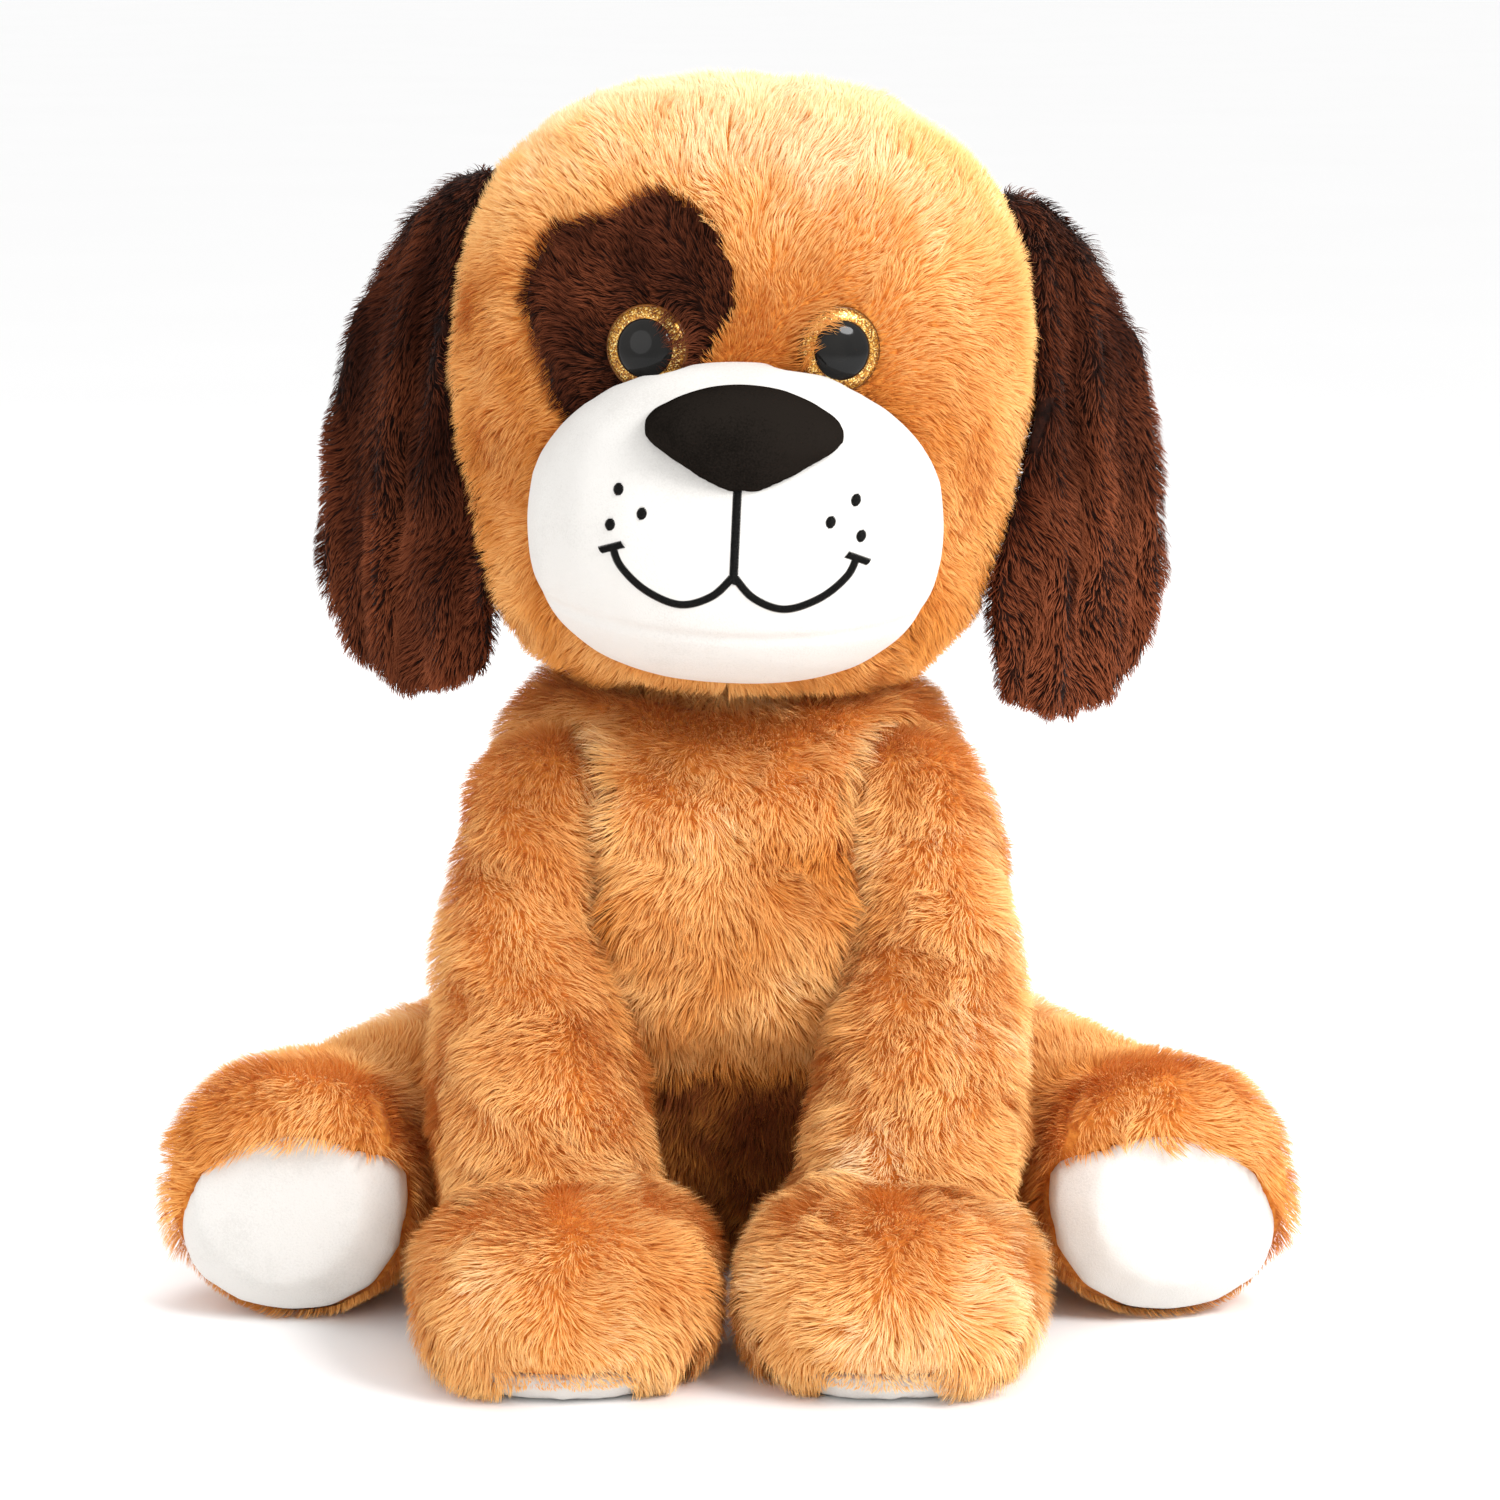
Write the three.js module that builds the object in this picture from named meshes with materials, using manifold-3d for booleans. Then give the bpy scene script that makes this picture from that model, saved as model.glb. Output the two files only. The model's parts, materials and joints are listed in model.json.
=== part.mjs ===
// A seated plush dog, 370 mm tall. Millimetres, +Z up, the dog faces -Y, and its own left side is +X.
// The origin lies on the flat seat panel, under the neck. Every stuffed piece is a fabric cover round its own
// filling, and each limb turns on a round end that sits in a socket of the torso.
import * as THREE from "three";
import { mergeVertices } from "three/addons/utils/BufferGeometryUtils.js";
import Module from "manifold-3d";

const wasm = await Module();
wasm.setup();

// Driving dimensions
const wall = 3.5; // knitted backing with the dense foot of its pile
const noseWall = 2.2; // the nose's cloth is thinner
const gap = 0.3; // room between touching pieces
const runningGap = 1; // room round a ball that turns in its socket
const headRoll = THREE.MathUtils.degToRad(2.6); // the head leans a little to the dog's left

const neck = { at: [0, 4, 190], radius: 38 };
const shoulder = { at: [54, -34, 147], radius: 24 };
const hip = { at: [68, 14, 44], radius: 37 };
const tailRoot = { at: [0, 86, 38], radius: 13 };
const hindLegLift = 12; // degrees, up
const frontLegSwing = 50; // degrees, forwards and up
const earRoom = 1; // between an ear and the head
const earLift = 90; // degrees, outwards and up

const head = {
  centre: [0, -6, 275],
  width: 87,
  depth: 66,
  top: 88.5,
  bottom: 88,
  roundness: 2.2,
  topRoundness: 2.65,
  bottomRoundness: 5,
  taper: 0.17, // how much the cheeks draw in down to the chin
};
const muzzle = {
  centre: [0, -64, 240],
  width: 62,
  depth: 48,
  top: 47.5,
  bottom: 48,
  roundness: 2.3,
  topRoundness: 2.3,
  bottomRoundness: 2.5,
};
const nose = { centre: [1, -97, 268.5], width: 30, depth: 23, height: 20.5, bluntness: 0.75 };
const padUnderPaw = { radius: 32, stretch: 1.32, depth: 10, forward: 6 };
const paw = {
  centre: [46.5, -126, 24],
  width: 43,
  depth: 45,
  top: 30,
  bottom: 36,
  roundness: 2.3,
  topRoundness: 2.2,
  bottomRoundness: 3.5,
};
const foot = {
  centre: [127, -59, 36.5],
  yaw: 12, // degrees, outwards
  pitch: 5, // degrees, upwards
  width: 39,
  depth: 37.5,
  top: 36,
  bottom: 30,
  roundness: 2.2,
  topRoundness: 6,
  bottomRoundness: 2,
};
const sole = { radius: 39.5, squash: 0.84, inwards: 7, down: 12, thickness: 16 };

const eye = {
  radius: 12.6,
  pupil: 8.3,
  side: 28,
  height: 291,
  lift: 1, // how much higher the left eye sits, and how much lower the right one
  turn: 20,
  tilt: 2,
};
const ear = {
  hingeAt: [78, 2, 333],
  turn: 50, // degrees, to face forwards
  splay: 3, // degrees that the left ear hangs further out than the right one
};

const torsoBoxiness = 0.8; // 1 gives the torso an oval section, and less than 1 a squarer one

// Torso outline: height, half width, half depth and how far back its centre lies
const torsoLevels = [
  [0, 60, 50, 25],
  [9, 73, 62, 24],
  [26, 80, 69, 22],
  [50, 83, 69, 20],
  [72, 80, 70, 13],
  [92, 78, 75, 2],
  [125, 75, 73, -5],
  [152, 71, 64, -6],
  [168, 66, 51, -2],
  [178, 57, 39, 3],
  [182, 44, 31, 4],
];

const seat = { halfWidth: 44, halfDepth: 38, back: 24 };
const belly = { halfWidth: 47, back: 2 };
const label = { width: 22, length: 34, thickness: 0.8, top: [30, 90.5, 40], lean: 14 };

// Materials
const cloth = (color) => new THREE.MeshStandardMaterial({ color, roughness: 0.95, metalness: 0 });
const materials = {
  caramel: cloth(0xd08a42),
  brown: cloth(0x3b1a10),
  white: cloth(0xf3f0ec),
  black: cloth(0x151413),
  thread: cloth(0x1c1a19),
  filling: cloth(0xf6f5f0),
  label: cloth(0xf8f8f6),
  glitter: new THREE.MeshStandardMaterial({ color: 0xc8902c, roughness: 0.3, metalness: 0.7 }),
  pupil: new THREE.MeshStandardMaterial({ color: 0x050505, roughness: 0.1, metalness: 0 }),
  clear: new THREE.MeshStandardMaterial({
    color: 0xffffff,
    roughness: 0.02,
    metalness: 0,
    transparent: true,
    opacity: 0.3,
  }),
  nylon: new THREE.MeshStandardMaterial({ color: 0xe9e6dd, roughness: 0.5, metalness: 0 }),
};

// Solids
function solidOf(geometry) {
  const bare = geometry.clone();
  bare.deleteAttribute("normal");
  bare.deleteAttribute("uv");
  const merged = mergeVertices(bare, 1e-4);
  const make = (index) =>
    new wasm.Manifold(
      new wasm.Mesh({
        numProp: 3,
        vertProperties: new Float32Array(merged.attributes.position.array),
        triVerts: new Uint32Array(index),
      }),
    );
  const made = make(merged.index.array);
  if (made.volume() >= 0) return made;
  const turned = Array.from(merged.index.array);
  for (let i = 0; i < turned.length; i += 3) [turned[i + 1], turned[i + 2]] = [turned[i + 2], turned[i + 1]];
  return make(turned);
}

function geometryOf(solid) {
  const mesh = solid.getMesh();
  const positions = new Float32Array(mesh.numVert * 3);
  for (let i = 0; i < mesh.numVert; i++) {
    positions.set(mesh.vertProperties.subarray(i * mesh.numProp, i * mesh.numProp + 3), i * 3);
  }
  return new THREE.BufferGeometry()
    .setAttribute("position", new THREE.BufferAttribute(positions, 3))
    .setIndex(new THREE.BufferAttribute(new Uint32Array(mesh.triVerts), 1));
}

const moved = (geometry, x, y, z) => solidOf(geometry.clone().translate(x, y, z));
const ball = ([x, y, z], radius, around = 16, rings = 10) =>
  moved(new THREE.SphereGeometry(radius, around, rings), x, y, z);
const block = (x0, x1, y0, y1, z0, z1) =>
  moved(new THREE.BoxGeometry(x1 - x0, y1 - y0, z1 - z0), (x0 + x1) / 2, (y0 + y1) / 2, (z0 + z1) / 2);

// A sphere whose every direction is carried to a point by place(direction)
function shaped(place, around, rings) {
  const geometry = new THREE.SphereGeometry(1, around, rings).rotateX(Math.PI / 2);
  const position = geometry.getAttribute("position");
  const direction = new THREE.Vector3();
  for (let i = 0; i < position.count; i++) {
    const { x, y, z } = place(direction.fromBufferAttribute(position, i));
    position.setXYZ(i, x, y, z);
  }
  return solidOf(geometry);
}

// Distance from a padded form's centre to its surface, with more or less square shoulders
function reach(form, inset, d) {
  const level = Math.pow(
    Math.pow(Math.abs(d.x) / (form.width - inset), form.roundness) +
      Math.pow(Math.abs(d.y) / (form.depth - inset), form.roundness),
    1 / form.roundness,
  );
  const n = d.z >= 0 ? form.topRoundness : form.bottomRoundness;
  const height = (d.z >= 0 ? form.top : form.bottom) - inset;
  return Math.pow(Math.pow(level, n) + Math.pow(Math.abs(d.z) / height, n), -1 / n);
}

// A padded form, inset by so many millimetres and flat where it would pass below the floor.
// A form with a taper is that much narrower at its foot.
function padded(form, inset, around, rings, floor = -Infinity) {
  const centre = new THREE.Vector3(...form.centre);
  const taper = form.taper ?? 0;
  return shaped(
    (d) => {
      const point = d.clone().multiplyScalar(reach(form, inset, d));
      point.x *= 1 - taper * Math.max(0, -point.z / form.bottom);
      point.add(centre);
      point.z = Math.max(point.z, floor);
      return point;
    },
    around,
    rings,
  );
}

// A closed skin over rings of equal count, closed at each end by a point
function skin(rings, first, last) {
  const points = [first, ...rings.flat(), last];
  const count = rings[0].length;
  const index = [];
  const at = (ring, i) => 1 + ring * count + (i % count);
  for (let i = 0; i < count; i++) {
    index.push(0, at(0, i + 1), at(0, i));
    for (let ring = 0; ring + 1 < rings.length; ring++) {
      index.push(at(ring, i), at(ring, i + 1), at(ring + 1, i));
      index.push(at(ring, i + 1), at(ring + 1, i + 1), at(ring + 1, i));
    }
    index.push(points.length - 1, at(rings.length - 1, i), at(rings.length - 1, i + 1));
  }
  return solidOf(new THREE.BufferGeometry().setFromPoints(points).setIndex(index));
}

// A limb: a round tube through stops of [x, y, z, radius], with a round end at each of its ends
function limb(stops, inset, around = 12, floor = -Infinity) {
  const centres = stops.map(([x, y, z]) => new THREE.Vector3(x, y, z));
  const ways = centres.map((c, i) =>
    centres[Math.min(i + 1, centres.length - 1)].clone().sub(centres[Math.max(i - 1, 0)]).normalize(),
  );
  const lay = (centre, way, radius) => {
    const side = new THREE.Vector3(1, 0, 0).addScaledVector(way, -way.x).normalize();
    const other = way.clone().cross(side);
    return Array.from({ length: around }, (_, i) => {
      const turn = (i / around) * 2 * Math.PI;
      const point = centre
        .clone()
        .addScaledVector(side, radius * Math.cos(turn))
        .addScaledVector(other, radius * Math.sin(turn));
      point.z = Math.max(point.z, floor);
      return point;
    });
  };
  const capSteps = [0.4, 0.75].map((s) => s * (Math.PI / 2));
  const cap = (i, way, radius, steps) =>
    steps.map((a) => {
      const centre = centres[i].clone().addScaledVector(way, radius * Math.cos(a));
      return lay(centre, ways[i], radius * Math.sin(a));
    });
  const end = centres.length - 1;
  const radii = stops.map((stop) => stop[3] - inset);
  const back = ways[0].clone().negate();
  const rings = [
    ...cap(0, back, radii[0], capSteps),
    ...centres.map((c, i) => lay(c, ways[i], radii[i])),
    ...cap(end, ways[end], radii[end], [...capSteps].reverse()),
  ];
  return skin(
    rings,
    centres[0].clone().addScaledVector(back, radii[0]),
    centres[end].clone().addScaledVector(ways[end], radii[end]),
  );
}

// The same solid turned by some degrees about an axis through a point
const turned = (solid, axis, at, degrees) =>
  solidOf(
    geometryOf(solid)
      .translate(-at[0], -at[1], -at[2])
      .applyQuaternion(new THREE.Quaternion().setFromAxisAngle(axis, THREE.MathUtils.degToRad(degrees)))
      .translate(...at),
  );
const alongX = new THREE.Vector3(1, 0, 0);
const alongY = new THREE.Vector3(0, 1, 0);

// The mirror image across the dog's middle
const mirrored = (solid) => solidOf(geometryOf(solid).scale(-1, 1, 1));

const root = new THREE.Group();
const headGroup = new THREE.Group();
headGroup.position.set(...neck.at);
headGroup.rotation.y = headRoll;
root.add(headGroup);

function add(name, solid, material, group = root) {
  const geometry = geometryOf(solid);
  if (group === headGroup) geometry.translate(...neck.at.map((v) => -v));
  const mesh = new THREE.Mesh(geometry, material);
  mesh.name = name;
  group.add(mesh);
}

// Front legs: a straight leg from the shoulder to a broad paw with a white pad under it
const frontLegStops = [
  [...shoulder.at, shoulder.radius],
  [61.5, -58, 110, 24],
  [57, -84, 68, 29.5],
  [51.5, -102, 38, 29.5],
];

function frontLegForm(inset, around = 12) {
  const floor = Math.max(inset, 0);
  const leg = limb(frontLegStops, inset, around, floor);
  return leg.add(padded(paw, inset, around + 4, around / 2 + 3, floor));
}

function padCut(extra) {
  const { radius, stretch, depth, forward } = padUnderPaw;
  const outline = new THREE.CylinderGeometry(radius + extra, radius + extra, 24, 16)
    .rotateX(Math.PI / 2)
    .scale(1, stretch, 1);
  return moved(outline, paw.centre[0], paw.centre[1] - forward, depth - 12 + extra);
}

function makeFrontLeg(side) {
  const name = `front_leg_${side > 0 ? "left" : "right"}`;
  const place = side > 0 ? (s) => s : mirrored;
  const sewnEdge = ball([shoulder.at[0] - 22, shoulder.at[1] + 18, shoulder.at[2] + 4], 17, 10, 8);
  const shell = frontLegForm(0).subtract(frontLegForm(wall, 8)).subtract(sewnEdge);
  add(`${name}_cover`, place(shell.subtract(padCut(gap))), materials.caramel);
  add(`${name}_pad`, place(shell.intersect(padCut(0))), materials.white);
  const filling = frontLegForm(wall + gap, 8).subtract(sewnEdge);
  add(`${name}_stuffing`, place(filling), materials.filling);
}

// Hind legs: a haunch that lies forwards and outwards and ends in an upright foot with a white sole
const hindLegStops = [
  [...hip.at, hip.radius],
  [90, -13, 42, 35],
  [112, -40, 40, 32],
];

// From the foot's own frame, whose z axis leaves the sole, to the dog's
const footTurn = new THREE.Matrix4()
  .makeTranslation(...foot.centre)
  .multiply(new THREE.Matrix4().makeRotationZ(THREE.MathUtils.degToRad(foot.yaw)))
  .multiply(new THREE.Matrix4().makeRotationX(THREE.MathUtils.degToRad(90 - foot.pitch)));

function footForm(inset, around, floor) {
  return shaped(
    (d) => {
      const point = d.clone().multiplyScalar(reach(foot, inset, d)).applyMatrix4(footTurn);
      point.z = Math.max(point.z, floor);
      return point;
    },
    around,
    around / 2 + 2,
  );
}

function hindLegForm(inset, around = 12) {
  const floor = Math.max(inset, 0);
  return limb(hindLegStops, inset, around, floor).add(footForm(inset, around + 4, floor));
}

function soleCut(extra) {
  const outline = new THREE.CylinderGeometry(sole.radius + extra, sole.radius + extra, 40, 20)
    .rotateX(Math.PI / 2)
    .scale(1, sole.squash, 1)
    .translate(-sole.inwards, -sole.down, foot.top + 20 - sole.thickness - extra);
  return solidOf(outline.applyMatrix4(footTurn));
}

function makeHindLeg(side) {
  const name = `hind_leg_${side > 0 ? "left" : "right"}`;
  const place = side > 0 ? (s) => s : mirrored;
  const sewnEdge = ball([hip.at[0] - 28, hip.at[1] + 12, hip.at[2] + 8], 22, 10, 8);
  const shell = hindLegForm(0).subtract(hindLegForm(wall, 8)).subtract(sewnEdge);
  add(`${name}_cover`, place(shell.subtract(soleCut(gap))), materials.caramel);
  add(`${name}_sole`, place(shell.intersect(soleCut(0))), materials.white);
  add(`${name}_stuffing`, place(hindLegForm(wall + gap, 8).subtract(sewnEdge)), materials.filling);
}

// Tail: short, and curved upwards
const tailStops = [
  [...tailRoot.at, tailRoot.radius],
  [0, 103, 46, 12],
  [0, 114, 60, 9.5],
  [0, 117, 72, 7],
];

function makeTail() {
  const sewnEdge = ball([0, tailRoot.at[1] - 12, tailRoot.at[2] - 3], 9, 12, 8);
  const shell = limb(tailStops, 0, 12).subtract(limb(tailStops, wall, 10)).subtract(sewnEdge);
  add("tail_cover", shell, materials.caramel);
  add("tail_stuffing", limb(tailStops, wall + gap, 10).subtract(sewnEdge), materials.filling);
}

// Torso: a pear on a flat seat, with a socket for the neck, each leg and the tail
function torsoForm(inset, around = 24) {
  const squarer = (share) => Math.sign(share) * Math.pow(Math.abs(share), torsoBoxiness);
  const rings = torsoLevels.map(([z, halfWidth, halfDepth, back]) =>
    Array.from({ length: around }, (_, i) => {
      const turn = (i / around) * 2 * Math.PI;
      return new THREE.Vector3(
        (halfWidth - inset) * squarer(Math.cos(turn)),
        back + (halfDepth - inset) * squarer(Math.sin(turn)),
        Math.min(Math.max(z, inset), torsoLevels.at(-1)[0] - inset),
      );
    }),
  );
  const [lowest, highest] = [torsoLevels[0], torsoLevels.at(-1)];
  return skin(
    rings,
    new THREE.Vector3(0, lowest[3], Math.max(inset, 0)),
    new THREE.Vector3(0, highest[3], highest[0] + 2 - inset),
  );
}

function torsoSockets(around, room) {
  const haunch = limb(hindLegStops.slice(0, 2), -room - 1.5, around);
  const arm = limb(frontLegStops.slice(0, 3), -room, around);
  const raisedArm = limb(frontLegStops.slice(0, 2), -room - 1, around);
  const onEachSide = [
    arm,
    turned(arm, alongX, shoulder.at, -0.15 * frontLegSwing),
    ...[0.3, 0.6, 1].map((share) => turned(raisedArm, alongX, shoulder.at, -share * frontLegSwing)),
    haunch,
    turned(haunch, alongX, hip.at, -hindLegLift),
  ];
  return [ball(neck.at, neck.radius + room), limb(tailStops, -room - 2, around)]
    .concat(onEachSide, onEachSide.map(mirrored))
    .reduce((all, cut) => all.add(cut));
}

function makeTorso() {
  const sockets = torsoSockets(12, runningGap);
  const shell = torsoForm(0).subtract(torsoForm(wall, 12)).subtract(sockets);
  const far = 200;
  const seatCut = (extra) => {
    const outline = new THREE.CylinderGeometry(1, 1, 12, 24).rotateX(Math.PI / 2);
    return moved(outline.scale(seat.halfWidth + extra, seat.halfDepth + extra, 1), 0, seat.back, 0);
  };
  const bellyCut = (extra) =>
    block(-belly.halfWidth - extra, belly.halfWidth + extra, -far, belly.back + extra, -far, far);
  const sides = shell.subtract(seatCut(gap));
  const backs = sides.subtract(bellyCut(gap));
  add("seat_panel", shell.intersect(seatCut(0)), materials.caramel);
  add("belly_panel", sides.intersect(bellyCut(0)), materials.caramel);
  add("back_panel_left", backs.intersect(block(gap / 2, far, -far, far, -far, far)), materials.caramel);
  add("back_panel_right", backs.intersect(block(-far, -gap / 2, -far, far, -far, far)), materials.caramel);
  const filling = torsoForm(wall + gap, 12).subtract(torsoSockets(8, 3 * runningGap));
  add("torso_stuffing", filling, materials.filling);
}

// Neck: a furry ball joint between the torso and the head
function makeNeck() {
  const inside = neck.radius - wall;
  const mouthOfCover = block(-12, 12, -12, 12, neck.at[2], neck.at[2] + neck.radius + 5);
  const cover = ball(neck.at, neck.radius).subtract(ball(neck.at, inside, 12, 8)).subtract(mouthOfCover);
  add("neck_cover", cover, materials.caramel);
  add("neck_stuffing", ball(neck.at, inside - gap, 12, 8), materials.filling);
}

// A sewn-in blank care label beside the tail
function makeLabel() {
  const geometry = new THREE.BoxGeometry(label.width, label.thickness, label.length)
    .translate(0, 0, -label.length / 2)
    .rotateX(THREE.MathUtils.degToRad(label.lean))
    .translate(...label.top);
  add("care_label", solidOf(geometry).subtract(torsoForm(-gap)), materials.label);
}

// Head: cover, eye patch, filling, muzzle, nose, stitched mouth, eyes and ears
const headForm = (inset, around = 24, rings = 14) => padded(head, inset, around, rings);
const muzzleForm = (inset, around = 20, rings = 12) => padded(muzzle, inset, around, rings);

// A rounded triangle, broad at the top, lying on the upper front of the muzzle
function noseForm(inset) {
  const [x, y, z] = nose.centre;
  return shaped(
    (d) => {
      const narrowing = d.z > 0 ? 1 : Math.pow((1 + d.z) / (1 - d.z), 0.45);
      const flat = d.z > 0 ? 0.85 : 1.05;
      const out = Math.sign(d.x) * Math.pow(Math.abs(d.x), nose.bluntness);
      return new THREE.Vector3(
        x + (nose.width - inset) * out * narrowing,
        y + (nose.depth - inset) * d.y - 4 * d.z,
        z + (nose.height - inset) * d.z * flat,
      );
    },
    14,
    10,
  );
}

// How far forward the muzzle's surface lies at a point of the face
function muzzleFront(x, z) {
  const [, y, mid] = muzzle.centre;
  const across = Math.pow(Math.abs(x) / muzzle.width, muzzle.roundness);
  const up = Math.pow(Math.abs(z - mid) / muzzle.top, muzzle.roundness);
  return y - muzzle.depth * Math.pow(Math.max(0, 1 - across - up), 1 / muzzle.roundness);
}

const onMuzzle = (x, z) => new THREE.Vector3(x, muzzleFront(x, z) - 0.4, z);

// A bead of satin stitch along points of the face
function bead(points, radius, steps) {
  const path = new THREE.CatmullRomCurve3(points.map(([x, z]) => onMuzzle(x, z)));
  const section = new THREE.Shape();
  const sides = 5;
  for (let i = 0; i < sides; i++) {
    const turn = ((i + 0.5) / sides) * 2 * Math.PI;
    const [x, y] = [radius * Math.cos(turn), radius * Math.sin(turn)];
    i ? section.lineTo(x, y) : section.moveTo(x, y);
  }
  return solidOf(new THREE.ExtrudeGeometry(section, { steps, extrudePath: path }));
}

const mouth = { top: 254, fork: 229, low: 221, end: 236.5, half: 35, thread: 1.1 };

function makeMouth() {
  const clear = muzzleForm(-gap);
  const smile = (side) =>
    bead(
      [
        [side * 0.3, mouth.fork + 1],
        [side * 6, mouth.fork - 5],
        [side * 15, mouth.low],
        [side * 25, mouth.low + 3.5],
        [side * (mouth.half - 2.5), mouth.low + 10],
        [side * mouth.half, mouth.end],
      ],
      mouth.thread,
      8,
    );
  const bar = (side) =>
    bead(
      [
        [side * (mouth.half - 3), mouth.end + 0.9],
        [side * mouth.half, mouth.end - 0.2],
        [side * (mouth.half + 3.6), mouth.end - 1.6],
      ],
      mouth.thread,
      4,
    );
  const line = bead([[0, mouth.top], [0, 242], [0, mouth.fork]], mouth.thread, 6);
  const stitches = [smile(1), smile(-1), bar(1), bar(-1)].reduce((all, s) => all.add(s), line);
  add("mouth_stitching", stitches.subtract(clear).subtract(noseForm(-gap)), materials.thread, headGroup);
  const freckles = [[27, 246.5], [34, 252.7], [36, 242.5]];
  for (const side of [1, -1]) {
    freckles.forEach(([x, z], i) => {
      const at = onMuzzle(side * x, z).toArray();
      const name = `freckle_${side > 0 ? "left" : "right"}_${i + 1}`;
      add(name, ball(at, 1.7, 7, 5).subtract(clear), materials.thread, headGroup);
    });
  }
}

// Eyes: a clear dome over a glitter disc with a black pupil, on a shank locked by a washer inside the head
function eyeTurn(side) {
  const x = side * eye.side;
  const across = Math.pow(Math.abs(x) / head.width, head.roundness);
  const height = eye.height + side * eye.lift;
  const t = Math.pow((height - head.centre[2]) / head.top, head.topRoundness);
  const level = Math.pow(1 - t, 1 / head.topRoundness);
  const front = head.depth * Math.pow(Math.pow(level, head.roundness) - across, 1 / head.roundness);
  return new THREE.Matrix4()
    .makeTranslation(x, head.centre[1] - front - 0.6, height)
    .multiply(new THREE.Matrix4().makeRotationZ(THREE.MathUtils.degToRad(side * eye.turn)))
    .multiply(new THREE.Matrix4().makeRotationX(THREE.MathUtils.degToRad(90 - eye.tilt)));
}

// A turned piece of the eye: its profile runs from the axis to the axis, along the way that the eye looks
const turnedPiece = (profile, around = 16) =>
  new THREE.LatheGeometry(profile.map(([r, z]) => new THREE.Vector2(r, z)), around).rotateX(Math.PI / 2);

function eyePieces() {
  const { radius, pupil } = eye;
  const domeHeight = 6;
  const arc = [0, 0.25, 0.5, 0.72, 0.9].map((s) => {
    const a = s * (Math.PI / 2);
    return [radius * Math.sin(a), 2.4 + domeHeight * Math.cos(a)];
  });
  return {
    shank: turnedPiece([[0, 0], [8, 0], [8, -1], [2.4, -1], [2.4, -15], [1.2, -17], [0, -17]], 10),
    iris: turnedPiece([[0, 0.3], [radius - 0.4, 0.3], [radius - 0.4, 1.2], [0, 1.2]]),
    pupil: turnedPiece([[0, 1.5], [pupil, 1.5], [pupil, 2.1], [0, 2.1]]),
    dome: turnedPiece([...arc, [radius, 1.5], [pupil + 0.4, 1.5], [pupil + 0.4, 2.4], [0, 2.4]]),
    washer: turnedPiece([[2.8, -6.2], [8.5, -6.2], [8.5, -7.6], [2.8, -7.6], [2.8, -6.2]], 10),
    room: turnedPiece(
      [[0, 0], [2.9, 0], [2.9, -5.2], [9.2, -5.2], [9.2, -8.4], [3.2, -8.4], [3.2, -18], [0, -18]],
      10,
    ),
    bed: turnedPiece([[0, 40], [radius + 0.6, 40], [radius + 0.6, -1.4], [0, -1.4]], 14),
  };
}

function makeEye(side) {
  const name = `eye_${side > 0 ? "left" : "right"}`;
  const turn = eyeTurn(side);
  const pieces = eyePieces();
  const put = (geometry) => solidOf(geometry.clone().applyMatrix4(turn));
  add(`${name}_dome`, put(pieces.dome).subtract(muzzleForm(-gap)), materials.clear, headGroup);
  add(`${name}_pupil`, put(pieces.pupil).subtract(muzzleForm(-gap)), materials.pupil, headGroup);
  add(`${name}_iris`, put(pieces.iris).subtract(muzzleForm(-gap)), materials.glitter, headGroup);
  add(`${name}_shank`, put(pieces.shank).subtract(muzzleForm(-gap)), materials.nylon, headGroup);
  add(`${name}_washer`, put(pieces.washer), materials.nylon, headGroup);
  return put(pieces.room).add(put(pieces.bed));
}

// The patch round the right eye, as [x, z] on the face
const patchMiddle = [-29, 302];
const patchOutline = [
  [-57, 284],
  [-63, 302],
  [-55, 320],
  [-39, 325],
  [-24, 333],
  [-9, 321],
  [-4, 304],
  [-11, 289],
  [-20, 270],
  [-48, 268],
];

function makeHead() {
  const eyeRoom = makeEye(1).add(makeEye(-1));
  const neckRoom = ball(neck.at, neck.radius + runningGap);
  const patchCut = (extra) => {
    const outline = patchOutline.map(([x, z]) => {
      const away = new THREE.Vector2(x - patchMiddle[0], z - patchMiddle[1]);
      away.setLength(away.length() + extra);
      return away.add(new THREE.Vector2(...patchMiddle));
    });
    const shape = new THREE.Shape(new THREE.SplineCurve([...outline, outline[0]]).getPoints(20));
    const prism = new THREE.ExtrudeGeometry(shape, { depth: 80, bevelEnabled: false });
    return moved(prism.rotateX(Math.PI / 2), 0, -30, 0);
  };
  const shell = headForm(0).subtract(headForm(wall, 14, 9)).subtract(neckRoom).subtract(eyeRoom);
  add("head_cover", shell.subtract(patchCut(gap)), materials.caramel, headGroup);
  add("eye_patch", shell.intersect(patchCut(0)), materials.brown, headGroup);
  const filling = headForm(wall + gap, 14, 9).subtract(neckRoom).subtract(eyeRoom);
  add("head_stuffing", filling, materials.filling, headGroup);

  const headRoom = headForm(-gap);
  const muzzleShell = muzzleForm(0).subtract(muzzleForm(wall, 12, 8)).subtract(headRoom);
  add("muzzle_cover", muzzleShell, materials.white, headGroup);
  add("muzzle_stuffing", muzzleForm(wall + gap, 12, 8).subtract(headRoom), materials.filling, headGroup);
  const noseShell = noseForm(0).subtract(noseForm(noseWall)).subtract(muzzleForm(-gap));
  add("nose_cover", noseShell, materials.black, headGroup);
  add("nose_stuffing", noseForm(noseWall + gap).subtract(muzzleForm(-gap)), materials.filling, headGroup);
}

// Ears: two layers of pile fabric sewn edge to edge, which hang from a seam high on the head
const earStops = [
  // [x, y, z, half width, half thickness]
  [...ear.hingeAt, 17, 4.5],
  [89, 3, 318, 22, 6],
  [98, 3, 288, 29, 7.5],
  [102.5, 1, 250, 34.5, 8],
  [101, -3, 212, 38, 8],
  [97, -5, 183, 28.5, 6.5],
];

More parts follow.
